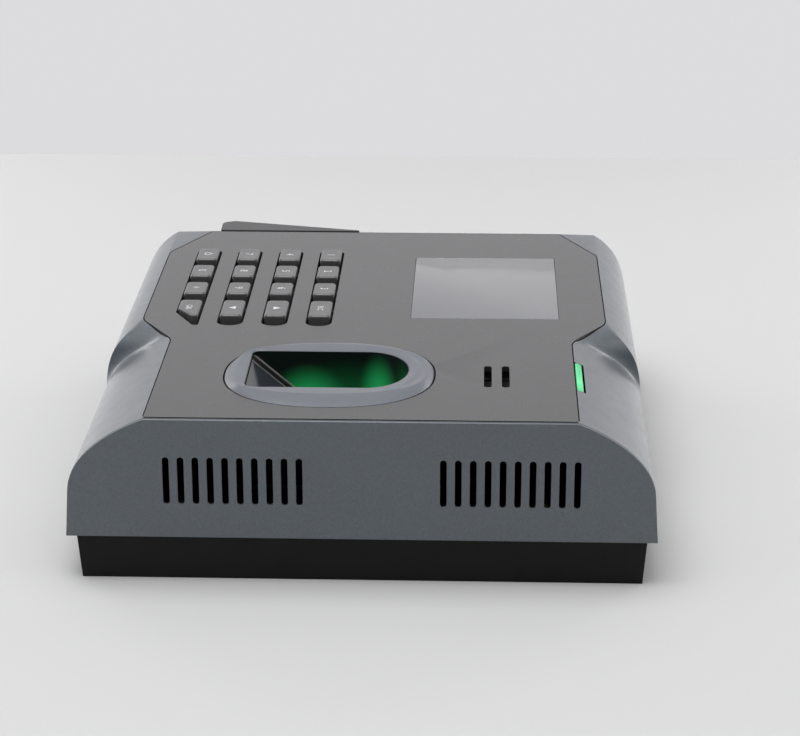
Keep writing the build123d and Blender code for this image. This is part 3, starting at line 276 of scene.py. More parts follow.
looks = {
    "shellPaint": {"color": (0.074, 0.093, 0.110), "metal": 0.05, "rough": 0.40, "flakes": 0.16, "coat": 1.0,
                   "coatRough": 0.20, "flakeSize": 0.35, "vary": 0.03, "patch": 30, "grain": 0.4, "relief": 0.2},
    "faceBlack": {"color": (0.040, 0.040, 0.041), "rough": 0.28, "coat": 0.6, "coatRough": 0.2, "vary": 0.03, "grain": 0.6,
                  "relief": 0.0, "wear": 0.01, "patch": 40, "ior": 1.55},
    "rearBlack": {"color": (0.007, 0.007, 0.007), "rough": 0.55, "specular": 0.2, "vary": 0.15, "grain": 0.45,
                  "relief": 0.5, "depth": 0.05},
    "windowGrey": {"color": (0.25, 0.253, 0.265), "rough": 0.12, "vary": 0.015, "patch": 40,
                   "wear": 0.02, "relief": 0.02, "ior": 1.5},
    "ringPaint": {"color": (0.155, 0.170, 0.195), "metal": 0.15, "rough": 0.42, "coat": 0.5, "coatRough": 0.3, "flakes": 0.05,
                  "flakeSize": 0.25, "vary": 0.03, "grain": 0.4, "relief": 0.1},
    "keyBlack": {"color": (0.095, 0.095, 0.097), "rough": 0.30, "vary": 0.04, "grain": 0.6, "coat": 0.6,
                 "coatRough": 0.2, "relief": 0.0, "ior": 1.55},
    "legendWhite": {"color": (0.80, 0.81, 0.82), "rough": 0.5, "vary": 0.05, "relief": 0.0},
    "lightGreen": {"color": (0.10, 0.75, 0.28), "rough": 0.25, "vary": 0.08, "patch": 5.0,
                   "glow": 0.45, "glowColor": (0.16, 0.85, 0.32)},
    "innerDark": {"color": (0.012, 0.012, 0.012), "rough": 0.7, "vary": 0.1},
    "rubberGrey": {"color": (0.10, 0.10, 0.105), "rough": 0.7, "vary": 0.08, "relief": 0.3},
    "boardGreen": {"color": (0.015, 0.11, 0.05), "rough": 0.35, "vary": 0.12, "patch": 6, "grain": 0.8},
    "brightSteel": {"color": (0.56, 0.56, 0.55), "metal": 1.0, "rough": 0.32, "vary": 0.06, "grain": 0.2,
                    "relief": 0.2},
    "zincSteel": {"color": (0.48, 0.49, 0.50), "metal": 1.0, "rough": 0.42, "vary": 0.10, "patch": 12,
                  "grain": 0.8, "relief": 0.25},
    "prismGlass": {"color": (0.035, 0.040, 0.050), "rough": 0.10, "vary": 0.06, "ior": 1.5},
    "railGrey": {"color": (0.22, 0.22, 0.225), "rough": 0.3, "vary": 0.05},
    "chipBlack": {"color": (0.02, 0.02, 0.02), "rough": 0.5, "vary": 0.1},
    "relayBlue": {"color": (0.02, 0.07, 0.30), "rough": 0.4, "vary": 0.05},
    "sleeveBlack": {"color": (0.02, 0.02, 0.025), "rough": 0.3, "vary": 0.05},
    "terminalGreen": {"color": (0.03, 0.25, 0.09), "rough": 0.45, "vary": 0.06},
    "coneBlack": {"color": (0.02, 0.02, 0.02), "rough": 0.8, "vary": 0.2, "grain": 0.6, "relief": 0.5},
    "tapeAmber": {"color": (0.45, 0.20, 0.04), "rough": 0.3, "vary": 0.08},
    "plungerWhite": {"color": (0.65, 0.65, 0.63), "rough": 0.4, "vary": 0.04},
    "backlightWhite": {"color": (0.75, 0.76, 0.78), "rough": 0.6, "vary": 0.03},
}
made = {name: finish(name, look) for name, look in looks.items()}


def glowing(name, look, color, spots):
    # A finish with soft bright spots: each falls off smoothly inside an ellipsoid round its centre. On a lamp the spots
    # are its own glow; on a lit surface they are painted light.
    material = finish(name, look)
    tree = material.node_tree
    shader = tree.nodes["Principled BSDF"]
    place = tree.nodes.new("ShaderNodeTexCoord").outputs["Object"]
    total = None
    for centre, size, strength in spots:
        away = tree.nodes.new("ShaderNodeVectorMath")
        away.operation = "SUBTRACT"
        tree.links.new(place, away.inputs[0])
        away.inputs[1].default_value = [c * milli for c in centre]
        scaled = tree.nodes.new("ShaderNodeVectorMath")
        scaled.operation = "DIVIDE"
        tree.links.new(away.outputs[0], scaled.inputs[0])
        scaled.inputs[1].default_value = [s * milli for s in size]
        length = tree.nodes.new("ShaderNodeVectorMath")
        length.operation = "LENGTH"
        tree.links.new(scaled.outputs[0], length.inputs[0])
        fall = tree.nodes.new("ShaderNodeMapRange")
        fall.interpolation_type = "SMOOTHSTEP"
        fall.inputs["To Min"].default_value = strength
        fall.inputs["To Max"].default_value = 0.0
        tree.links.new(length.outputs["Value"], fall.inputs["Value"])
        if total is None:
            total = fall.outputs["Result"]
        else:
            add = tree.nodes.new("ShaderNodeMath")
            add.operation = "ADD"
            tree.links.new(total, add.inputs[0])
            tree.links.new(fall.outputs["Result"], add.inputs[1])
            total = add.outputs["Value"]
    glow = tree.nodes.new("ShaderNodeVectorMath")
    glow.operation = "SCALE"
    glow.inputs[0].default_value = color
    tree.links.new(total, glow.inputs["Scale"])
    tree.links.new(glow.outputs["Vector"], shader.inputs["Emission Color"])
    shader.inputs["Emission Strength"].default_value = 1.0
    return material


# Far wall of the well, lit from below by green lamps: that light is painted on as glow spots over a near-black base.
# Also the lit window of the status light, which is a lamp's own glow.
wellPaintedLight = {
    "look": {"color": (0.008, 0.016, 0.012), "rough": 0.35, "vary": 0.1, "grain": 0.4, "specular": 0.3},
    "color": (0.012, 0.34, 0.09),
    "spots": (((41, -21, 40), (14, 15, 15), 0.62), ((42, 3.5, 44), (10, 8, 15), 0.60), ((41, -8, 42), (40, 26, 15), 0.12),
              ((50, 12, 46), (9, 7, 14), 0.14)),
}
lightGlow = {
    "look": {"color": (0.06, 0.55, 0.22), "rough": 0.25, "vary": 0.10, "patch": 4.0},
    "color": (0.10, 0.62, 0.24),
    "spots": (((58, 71.9, 57.0), (30, 12, 3.6), 0.55), ((64, 71.9, 56.5), (7, 4, 3), 0.18)),
}
# The well's finish is painted lamp light; the status bar's is the lamp's own glow
made["wellPaintedGreenLight"] = glowing("wellPaintedGreenLight", **wellPaintedLight)
made["statusGreen"] = glowing("statusGreen", **lightGlow)
print("finishes made")


# Shell: an arch from the flat face over two wings, with a scooped end to its wide part

shellShape = {
    "faceZ": 57.0, "splitZ": 15.7, "left": -102.5, "right": 101.2, "half": 96.6, "lean": 1.1,
    "drop": 25.0, "narrowRim": 70.0, "wideRim": 82.7, "narrowSlope": 21.6, "wideSlope": 24.3,
    "narrowPull": (13.9, 11.4), "widePull": (13.5, 8.7), "cornerRadius": 20.0, "edgeRadius": 1.4,
    "skin": 1.2, "notch": (24.9, 5.4), "notchSoft": 3.5, "panelGap": 0.4,
}


def wingCurve(rim, slope, pull, shape, t):
    # Cubic Bezier in y and z from the rim to the shoulder of the drafted side
    shoulder = np.array([shape["half"] - shape["lean"], shape["faceZ"] - shape["drop"]])
    foot = np.array([shape["half"], shape["splitZ"]])
    down = (foot - shoulder) / np.linalg.norm(foot - shoulder)
    fall = np.array([math.cos(math.radians(slope)), -math.sin(math.radians(slope))])
    corner = np.array([rim, shape["faceZ"]])
    leave, arrive = corner + fall * pull[0], shoulder - down * pull[1]
    t = t[:, None]
    curve = (1 - t) ** 3 * corner + 3 * t * (1 - t) ** 2 * leave + 3 * t**2 * (1 - t) * arrive + t**3 * shoulder
    side = shoulder + (foot - shoulder) * np.linspace(0.25, 1, 4)[:, None]
    flat = np.c_[rim * np.linspace(0, 1, 7)[:-1], np.full(6, shape["faceZ"])]
    return np.concatenate([flat, curve, side])


def easeInOut(v):
    v = np.clip(v, 0, 1)
    return v * v * (3 - 2 * v)


def archPoints(shape):
    t = np.linspace(0, 1, 41)
    wide = wingCurve(shape["wideRim"], shape["wideSlope"], shape["widePull"], shape, t)
    narrow = wingCurve(shape["narrowRim"], shape["narrowSlope"], shape["narrowPull"], shape, t)
    along = np.gradient(wide, axis=0)
    upFace = np.clip(along[:, 0] / np.linalg.norm(along, axis=1), 0, 1)
    # Plan of the scoop: its ridge and its foot wander with the place on the wing
    risen = np.clip((wide[:, 0] - shape["wideRim"]) / (shape["half"] - shape["wideRim"]), 0, 1)
    passed = np.clip((narrow[:, 0] - shape["narrowRim"]) / (shape["half"] - shape["narrowRim"]), 0, 1)
    near, far = shape["notch"]
    settled = easeInOut(risen / 0.12)
    ridge = far + 10.6 * (1 - (1 - risen) ** 2.6) - shape["notchSoft"] * (1 - settled)
    foot = near - 4.0 * easeInOut((passed - 0.1) / 0.5) + shape["notchSoft"] * (1 - settled)
    # Corner of the plan: how far each line of the wide part stands in from the left wall
    inCorner = np.clip(wide[:, 0] - (shape["half"] - shape["cornerRadius"]), 0, shape["cornerRadius"])
    start = shape["left"] + shape["cornerRadius"] - np.sqrt(shape["cornerRadius"] ** 2 - inCorner**2)
    # Columns: rounded left edge, far part, scoop, near part
    turn = np.linspace(0, np.pi / 2, 7)[:, None]
    radius = shape["edgeRadius"] * upFace[None]
    xEdge = start + radius * (1 - np.cos(turn))
    dropEdge = radius * (1 - np.sin(turn))
    spread = np.linspace(0, 1, 37)[1:, None]
    xFar = xEdge[-1] + (ridge - xEdge[-1]) * spread
    v = np.linspace(0, 1, 31)[1:, None]
    xScoop = ridge + (foot - ridge) * v
    soft = shape["notchSoft"] * 2 / (near - far + 2 * shape["notchSoft"])
    back = 1 - v
    ramp = np.clip((back - soft / 2) / (1 - soft), 0, 1)
    bend = (np.clip(back, 0, soft) ** 2 / (2 * soft)) / (1 - soft)
    tail = (np.clip(1 - back, 0, soft) ** 2 / (2 * soft)) / (1 - soft)
    outline = np.where(back < soft, bend, np.where(back > 1 - soft, 1 - tail, ramp))
    wall = back**2
    share = outline * (1 - settled) + wall * settled
    xNear = foot + (shape["right"] - foot) * np.linspace(0, 1, 15)[1:, None]
    x = np.concatenate([xEdge, xFar, xScoop, xNear])
    w = np.concatenate([np.ones_like(xEdge), np.ones_like(xFar), share, np.zeros_like(xNear)])
    y = narrow[:, 0] + (wide[:, 0] - narrow[:, 0]) * w
    z = narrow[:, 1] + (wide[:, 1] - narrow[:, 1]) * w
    z[: len(turn)] -= dropEdge
    half = np.stack([x, y, z], axis=-1)
    mirrored = half[:, :0:-1] * np.array([1, -1, 1])
    return np.concatenate([mirrored, half], axis=1)


def archSkin(shape):
    top = archPoints(shape)
    columns, rows = top.shape[:2]
    # The left wall hangs straight down from the first column
    share = np.linspace(0, 1, 9)[1:, None, None]
    low = top[0] * np.array([1, 1, 0]) + np.array([0, 0, shape["splitZ"]])
    wall = top[0] + (low - top[0]) * share
    grid = np.concatenate([wall[::-1], top])
    return grid.reshape(-1, 3), gridFaces(grid.shape[0], rows)


def faceLoop(shape, grow):
    inset, rimNear, rimFar = 1.5, shape["narrowRim"], shape["wideRim"]
    near, far = shape["notch"]
    right, left = shape["right"] - inset, shape["left"] + inset
    upper = [(right, rimNear), (near, rimNear), (far, rimFar), (-73.2, rimFar), (left, 69.0)]
    lower = [(x, -y) for x, y in upper[::-1]]
    bends = [0.8, 12, 12, 8, 3]
    loop = roundedLoop(upper + lower, bends + bends[::-1])
    return loop + outwardOf(loop) * grow


def cutter(name, loop, low, high, endwise=False):
    # A prism over the loop; endwise stands it along X instead of Z
    points, faces = stackedLoops(np.array(loop, float), (0, 0), (low, high))
    if endwise:
        points = points[:, [2, 0, 1]]
    mesh = bpy.data.meshes.new(name)
    mesh.from_pydata((points * milli).tolist(), [], faces)
    tidyMesh(mesh)
    piece = bpy.data.objects.new(name, mesh)
    bpy.context.scene.collection.objects.link(piece)
    return piece


def boxLoop(x0, x1, y0, y1):
    return [(x0, y0), (x1, y0), (x1, y1), (x0, y1)]


def carve(piece, tools):
    for tool in tools:
        cut = piece.modifiers.new("cut", "BOOLEAN")
        cut.operation = "DIFFERENCE"
        cut.solver = "EXACT"
        cut.object = tool
    settle(piece)
    for tool in tools:
        bpy.data.objects.remove(tool)


skinPoints, skinFaces = archSkin(shellShape)
shellPiece = newPiece("archShell", skinPoints, skinFaces, made["shellPaint"], "terminal", ("front_shell",))
thick = shellPiece.modifiers.new("skin", "SOLIDIFY")
thick.thickness = shellShape["skin"] * milli
thick.offset = -1
settle(shellPiece)
carve(shellPiece, [
    cutter("seatCut", faceLoop(shellShape, shellShape["panelGap"]), 54.6, 62),
    cutter("lightCut", boxLoop(44.6, 71.0, 70.38, 73.5), 48, 60),
    cutter("portCut", boxLoop(-104, -99, -64, -5.4), 22, 51),
])
smoothly(shellPiece.data, 30)
print("shell", len(shellPiece.data.polygons))


# Plates and housings that keep their CAD shape and get broken edges

platePieces = (
    ("facePlate", "face_panel", "faceBlack", 0.22, "face_black"),
    ("windowPlate", "display_window", "windowGrey", 0.15, "clear_window"),
    ("rearTray", "rear_housing", "rearBlack", 0.35, "rear_black"),
    ("portHood", "usb_door", "faceBlack", 0.45, "door_black"),
    ("wallBracket", "wall_plate", "zincSteel", 0.25, "plate_steel"),
)
for name, node, look, width, slot in platePieces:
    softened(name, node, made[look], width)
print("plates softened")


# Vented end: a plate over the whole end of the arch, with two rows of slots
endShape = {
    "x": (101.3, 102.5), "inset": 0.04, "slot": (16.3, 2.1), "pitch": 4.81, "count": 10,
    "slotZ": 35.75, "groups": (-41.45, 48.45), "edge": 0.22,
}


def endPlate(shape):
    half = wingCurve(
        shellShape["narrowRim"], shellShape["narrowSlope"], shellShape["narrowPull"], shellShape,
        np.linspace(0, 1, 33),
    )[6:]
    loop = np.concatenate([half[::-1], half * np.array([-1, 1])])
    points, faces = stackedLoops(loop, (-shape["inset"], -shape["inset"]), shape["x"])
    plate = newPiece(
        "ventPlate", points[:, [2, 0, 1]], faces, made["shellPaint"], "terminal",
        ("side_panel_right",),
    )
    tall, broad = shape["slot"]
    cuts = []
    for group in shape["groups"]:
        for n in range(shape["count"]):
            y = group + (n - (shape["count"] - 1) / 2) * shape["pitch"]
            slot = boxLoop(y - broad / 2, y + broad / 2, shape["slotZ"] - tall / 2, shape["slotZ"] + tall / 2)
            slot = roundedLoop(slot, [broad * 0.49] * 4, 6)
            cuts.append(cutter("ventCut", slot, shape["x"][0] - 1, shape["x"][1] + 1, True))
    carve(plate, cuts)
    smoothly(plate.data, 30)
    bevelEdges(plate, shape["edge"], 2, 50)


endPlate(endShape)
print("vented end")


# Status light: a bar of green plastic that follows the wing's slope
lightShape = {"x": (44.9, 70.7), "y": (70.62, 72.75), "top": 56.75, "fall": 0.36, "low": 52.9, "corner": 0.8}
lightLoop = roundedLoop(boxLoop(*lightShape["x"], *lightShape["y"]), [lightShape["corner"]] * 4, 6)
lightPoints, lightFaces = stackedLoops(
    lightLoop, (0, 0, -0.25), (lightShape["low"], lightShape["top"] - 0.2, lightShape["top"])
)
raised = lightPoints[:, 2] > lightShape["low"]
lightPoints[raised, 2] -= lightShape["fall"] * (lightPoints[raised, 1] - lightShape["y"][0])
newPiece(
    "lightBar", lightPoints, lightFaces, made["statusGreen"], "terminal", ("status_light",), 40
)


# Keys: rounded caps with a shallow dish, and their white signs

keyShape = {
    "rows": (-67.2, -51.4, -35.5, -19.6),
    "spans": ((-73.9, -60.0), (-53.3, -39.7), (-32.8, -19.5), (-12.3, 4.8)),
    "width": 8.0, "radius": 1.6, "cut": (8.37, 5.92), "flange": 1.5, "low": 51.2, "flangeTop": 52.4,
    "top": 58.6, "edge": 0.8, "dish": 0.12,
    "signs": (("power", "0", "star", "ok"), ("7", "8", "9", "down"), ("4", "5", "6", "up"), ("1", "2", "3", "esc")),
}


def keyLoop(row, column, grow):
    half = keyShape["width"] / 2 + grow
    (left, right), y = keyShape["spans"][column], keyShape["rows"][row]
    left, right = left - grow, right + grow
    corners = [(left, y - half), (right, y - half), (right, y + half), (left, y + half)]
    bends = [keyShape["radius"]] * 4
    if (row, column) == (0, 3):
        corners[1:2] = [(right - keyShape["cut"][0], y - half), (right, y - half + keyShape["cut"][1])]
        bends[1:3] = [1.2, 0.8, 1.1]
    return roundedLoop(corners, bends, 9)


def keyCap(row, column):
    # Flange, stem, a quarter-round edge, then rings that close over a shallow dish
    loop = keyLoop(row, column, 0.0)
    flange = keyLoop(row, column, keyShape["flange"])
    turn = np.linspace(0, np.pi / 2, 7)
    edge, top = keyShape["edge"], keyShape["top"]
    centre = np.array([loop[:, 0].mean(), keyShape["rows"][row]])
    if (row, column) == (0, 3):
        centre += np.array([0.6, 0.4])
    layers = [
        np.c_[flange, np.full(len(loop), keyShape["low"])],
        np.c_[flange, np.full(len(loop), keyShape["flangeTop"])],
        np.c_[loop, np.full(len(loop), keyShape["flangeTop"])],
    ]
    outward = outwardOf(loop)
    for a in turn:
        layers.append(np.c_[loop - outward * edge * (1 - np.cos(a)), np.full(len(loop), top - edge + edge * np.sin(a))])
    inner = layers[-1][:, :2]
    for share in (0.85, 0.65, 0.4, 0.2, 0.05):
        drop = keyShape["dish"] * (1 - share**2)
        layers.append(np.c_[centre + (inner - centre) * share, np.full(len(loop), top - drop)])
    points = np.concatenate(layers)
    faces = list(map(list, gridFaces(len(layers), len(loop), wrapColumns=True)))
    faces += [list(range(len(loop)))[::-1], [len(points) - len(loop) + i for i in range(len(loop))]]
    return points, faces


def flatSign(name, places, faces, body, low):
    # A printed sign: thin plate from a flat outline, resting on the key
    mesh = bpy.data.meshes.new(name)
    points = np.c_[np.asarray(places, float)[:, :2], np.full(len(places), low)]
    mesh.from_pydata((points * milli).tolist(), [], faces)
    piece = bpy.data.objects.new(name, mesh)
    bpy.context.scene.collection.objects.link(piece)
    dress(piece, made["legendWhite"], body)
    ink = piece.modifiers.new("ink", "SOLIDIFY")
    ink.thickness = 0.05 * milli
    ink.offset = 1
    return piece


def writtenSign(text, size):
    # Outline of a letter or number as a flat mesh centred on the origin, in millimetres
    curve = bpy.data.curves.new("sign", "FONT")
    curve.body = text
    curve.size = size
    curve.resolution_u = 3
    curve.align_x, curve.align_y = "CENTER", "CENTER"
    letters = bpy.data.objects.new("sign", curve)
    bpy.context.scene.collection.objects.link(letters)
    graph = bpy.context.evaluated_depsgraph_get()
    mesh = bpy.data.meshes.new_from_object(letters.evaluated_get(graph))
    points = np.zeros(len(mesh.vertices) * 3)
    mesh.vertices.foreach_get("co", points)
    points = points.reshape(-1, 3)[:, :2]
    faces = [list(p.vertices) for p in mesh.polygons]
    bpy.data.objects.remove(letters)
    bpy.data.meshes.remove(mesh)
    points -= (points.min(0) + points.max(0)) / 2
    return points, faces


def ringSign(radius, width, start, end, steps=24):
    # Arc of a ring with a given width
    angle = np.radians(np.linspace(start, end, steps))
    spokes = np.stack([np.cos(angle), np.sin(angle)], axis=1)
    points = np.concatenate([spokes * (radius - width / 2), spokes * (radius + width / 2)])
    return points, gridFaces(2, steps)[:, ::-1].tolist()


def joined(*signs):
    points, faces, total = [], [], 0
    for p, f in signs:
        points.append(np.asarray(p, float))
        faces += [[i + total for i in face] for face in f]
        total += len(p)
    return np.concatenate(points), faces


signShapes = {
    "up": (np.array([(-1.5, -1.1), (1.5, -1.1), (0, 1.5)]), [[0, 1, 2]]),
    "down": (np.array([(-1.5, 1.1), (0, -1.5), (1.5, 1.1)]), [[0, 1, 2]]),
    "power": joined(ringSign(1.35, 0.42, 125, 415), (np.array(boxLoop(-0.21, 0.21, 0.2, 1.9)), [[0, 1, 2, 3]])),
    "ok": writtenSign("OK", 3.2),
    "esc": writtenSign("ESC", 2.9),
    "star": writtenSign("*", 5.0),
}
for row in range(4):
    for column in range(4):
        sign = keyShape["signs"][row][column]
        body = f"key_{sign}_body"
        points, faces = keyCap(row, column)
        newPiece(f"cap_{sign}", points, faces, made["keyBlack"], body, (f"key_{sign}",), 50)
        places, outline = signShapes[sign] if sign in signShapes else writtenSign(sign, 4.2)
        span = keyShape["spans"][column]
        centre = np.array([(span[0] + span[1]) / 2, keyShape["rows"][row]])
        flatSign(f"sign_{sign}", places + centre, outline, body, keyShape["top"] - keyShape["dish"] * 0.8)
print("keys")


# Ring round the finger well

ringShape = {
    "centre": (59.1, -12.4), "half": (30.6, 35.2), "power": 2.3, "mouthX": (40.5, 75.0),
    "mouthY": (-40.0, 0.0, 14.4), "mouthCorner": 3.0, "low": 55.0, "face": 57.0, "rise": 1.9,
    "mouthTop": 58.2, "around": 160,
}


def mouthLoop(grow=0.0, steps=40):
    # Square end with rounded corners, then half an ellipse
    s = ringShape
    left, right = s["mouthX"][0] - grow, s["mouthX"][1] + grow
    low, bend, tip = s["mouthY"][0] - grow, s["mouthY"][1], s["mouthY"][2] + grow
    r = s["mouthCorner"] + grow / 2
    a = np.radians(np.linspace(180, 270, 9))
    first = np.stack([left + r + r * np.cos(a), low + r + r * np.sin(a)], axis=1)
    second = np.stack([right - r + r * np.cos(a + np.pi / 2), low + r + r * np.sin(a + np.pi / 2)], axis=1)
    b = np.linspace(0, np.pi, steps)
    tipArc = np.stack([(left + right) / 2 + (right - left) / 2 * np.cos(b), bend + (tip - bend) * np.sin(b)], axis=1)
    return np.concatenate([first, second, tipArc])


def alongLoop(loop, angles, centre):
    # Where rays from the centre meet a loop, taken by angle round it
    rel = loop - centre
    turned = np.unwrap(np.arctan2(rel[:, 1], rel[:, 0]))
    lap = np.concatenate([turned, [turned[0] + 2 * np.pi]])
    rel = np.concatenate([rel, rel[:1]])
    wrapped = (angles - lap[0]) % (2 * np.pi) + lap[0]
    return centre + np.stack([np.interp(wrapped, lap, rel[:, k]) for k in (0, 1)], axis=1)


def ringPoints():
    # Radial grid from the outer edge over a crest down into the mouth
    s = ringShape
    centre = np.array(s["centre"])
    a = np.linspace(0, 2 * np.pi, s["around"], endpoint=False)
    c, d = np.cos(a), np.sin(a)
    outer = centre + np.stack([
        s["half"][0] * np.sign(c) * np.abs(c) ** (2 / s["power"]),
        s["half"][1] * np.sign(d) * np.abs(d) ** (2 / s["power"]),
    ], axis=1)
    real = np.arctan2(outer[:, 1] - centre[1], outer[:, 0] - centre[0])
    fine = mouthLoop(0.0, 160)
    inner = alongLoop(fine, real, centre)
    towardTip = easeInOut((np.sin(real) - 0.72) / 0.26)
    crest = 0.50 - 0.26 * towardTip
    plateau = 0.42 * towardTip
    q = np.linspace(0, 1, 33)[:, None]
    risen = np.clip(q / crest, 0, 1)
    up = 0.62 * risen + 0.38 * (1 - (1 - risen) ** 2.4)
    fallShare = np.clip((q - crest - plateau) / (1 - crest - plateau), 0, 1)
    drop = 0.75 * fallShare + 0.25 * fallShare**3
    height = s["face"] + s["rise"] * up - (s["face"] + s["rise"] - s["mouthTop"]) * drop
    height = height - 0.35 * towardTip * np.exp(-(((q - 0.5) / 0.16) ** 2))
    plan = outer[None] + (inner - outer)[None] * q[:, :, None]
    top = np.concatenate([plan, height[:, :, None]], axis=2)
    skirt = np.concatenate([outer, np.full((len(a), 1), s["low"])], axis=1)[None]
    throat = np.concatenate([inner, np.full((len(a), 1), s["low"])], axis=1)[None]
    return np.concatenate([skirt, top, throat])


ringGrid = ringPoints()
newPiece(
    "wellRing", ringGrid, gridFaces(*ringGrid.shape[:2], wrapRows=True, wrapColumns=True),
    made["ringPaint"], "terminal", ("sensor_bezel",), 40,
)

# Liner: the smooth wall of the well carried up to the ring's inner edge; its finish carries the painted green light of
# the lamps
linerShape = {"top": 58.1, "low": 50.0, "thick": 0.22, "inset": 0.05}
linerFine = mouthLoop(-linerShape["inset"], 60)
linerPoints = stackedLoops(
    linerFine,
    (0, 0, -linerShape["thick"], -linerShape["thick"]),
    (linerShape["top"], linerShape["low"], linerShape["low"], linerShape["top"]),
)[0]
linerFaces = gridFaces(4, len(linerFine), wrapRows=True, wrapColumns=True)
newPiece("wellLiner", linerPoints, linerFaces, made["wellPaintedGreenLight"], "terminal", (), 40)

# Glass on its slope, with a dark frame along its far side that has a pale rail at each edge
glassShape = {"top": (-39.6, 57.3), "foot": (-23.6, 43.5), "thick": 0.5}
glassStrips = (
    ("sensorGlass", (48.0, 74.4), 0.0, "prismGlass", "prism_glass"),
    ("glassFrame", (41.0, 48.0), -0.25, "rearBlack", "well_plastic"),
    ("glassRail_0", (41.1, 42.5), 0.12, "railGrey", "well_plastic"),
    ("glassRail_1", (47.3, 47.9), 0.12, "railGrey", "well_plastic"),
)


def slopedStrip(name, across, lift, look, slot):
    # A flat bar that lies on the slope between two values of x
    (y0, z0), (y1, z1) = glassShape["top"], glassShape["foot"]
    thick = glassShape["thick"]
    edge = [(y0, z0 + lift), (y1, z1 + lift), (y1, z1 + lift - thick), (y0, z0 + lift - thick)]
    points = [(x, y, z) for x in across for y, z in edge]
    faces = [[0, 1, 2, 3], [7, 6, 5, 4], [0, 4, 5, 1], [1, 5, 6, 2], [2, 6, 7, 3], [3, 7, 4, 0]]
    newPiece(name, points, faces, made[look], "terminal")


for strip in glassStrips:
    slopedStrip(*strip)
print("ring and well")


# Deck under the face panel, seen through the gaps of the keys and the speaker slots
deckShape = {
    "low": 52.6, "high": 55.0, "inset": 0.5, "keyGap": 0.7, "slotEnds": (-75.6, 11.0), "cut": (13.5, 7.4),
    "window": (-70.0, 1.6, 12.8, 66.7), "mouthGap": 2.5, "speaker": (49.4, 70.6), "speakerRows": (40.9, 46.9),
    "speakerHalf": 1.8, "light": (47.1, 73.9, 70.4, 74.4),
}


def slotLoop(row):
    # Long slot of one line of keys; the first line has a slanted end
    half = keyShape["width"] / 2 + deckShape["keyGap"]
    (left, right), y = deckShape["slotEnds"], keyShape["rows"][row]
    corners = [(left, y - half), (right, y - half), (right, y + half), (left, y + half)]
    bends = [half * 0.5, half * 0.9, half * 0.9, half * 0.5]
    if row == 0:
        corners[1:2] = [(right - deckShape["cut"][0], y - half), (right, y - half + deckShape["cut"][1])]
        bends = [half * 0.5, 1.5, 1.5, 0.8, half * 0.5]
    return roundedLoop(corners, bends)


def deckPlate(shape):
    points, faces = stackedLoops(faceLoop(shellShape, -shape["inset"]), (0, 0), (shape["low"], shape["high"]))
    plate = newPiece("deckPlate", points, faces, made["innerDark"], "terminal")
    left, right = shape["speaker"]
    half = shape["speakerHalf"]
    openings = [slotLoop(row) for row in range(4)] + [mouthLoop(shape["mouthGap"])]
    openings += [roundedLoop(boxLoop(left, right, y - half, y + half), [half * 0.95] * 4) for y in shape["speakerRows"]]
    openings += [boxLoop(*shape["window"]), boxLoop(*shape["light"])]
    carve(plate, [cutter("deckCut", loop, shape["low"] - 1, shape["high"] + 1) for loop in openings])


deckPlate(deckShape)
print("deck")


# Plain dressing of the other nodes

plainLooks = {
    # sensor_well takes the same painted green lamp light as the liner
    "sensor_well": "wellPaintedGreenLight", "sensor_prism": "prismGlass", "sensor_lens": "prismGlass",
    "sensor_lamps": "lightGreen",
    "port_housing": "rearBlack", "lcd_carrier": "rearBlack", "speaker_retainer": "rearBlack",
    "keypad_mat": "rubberGrey", "speaker_gasket": "rubberGrey",
    "keypad_board": "boardGreen", "sensor_board": "boardGreen", "main_board": "boardGreen",
    "status_board": "boardGreen", "socket_board": "boardGreen",
    "lcd_frame": "brightSteel", "shield_can": "brightSteel", "usb_socket": "brightSteel",
    "lcd_panel": "windowGrey", "lcd_backlight": "backlightWhite",
    "board_screws": "zincSteel", "housing_screws": "zincSteel", "door_pin": "brightSteel",
    "board_chips": "chipBlack", "tamper_switch": "chipBlack", "relay": "relayBlue",
    "capacitors": "sleeveBlack", "network_jack": "chipBlack", "power_jack": "chipBlack",
    "cell_holder": "chipBlack", "terminal_block": "terminalGreen", "coin_cell": "brightSteel",
    "speaker": "coneBlack", "tamper_plunger": "plungerWhite",
    "lcd_cable": "tapeAmber", "keypad_cable": "tapeAmber",
}
for node, look in plainLooks.items():
    item = frame["nodes"][node]
    item.data.materials.clear()
    item.data.materials.append(made[look])
print("nodes dressed")


# Stage: table, backdrop and light

stageSettings = {
    "tableColor": (0.71, 0.71, 0.71), "wallColor": (0.74, 0.74, 0.745), "wallTone": (0.72, 0.71, 0.725), "tableFar": -0.42, "tableNear": 2.5,
    "halfWidth": 2.5, "wallHigh": 1.6, "bend": 0.05,
    "skyBack": 0.8, "skyFront": 0.11, "skyTop": 1.15, "keyPower": 6.0, "sidePower": (0.8, 0.8),
}


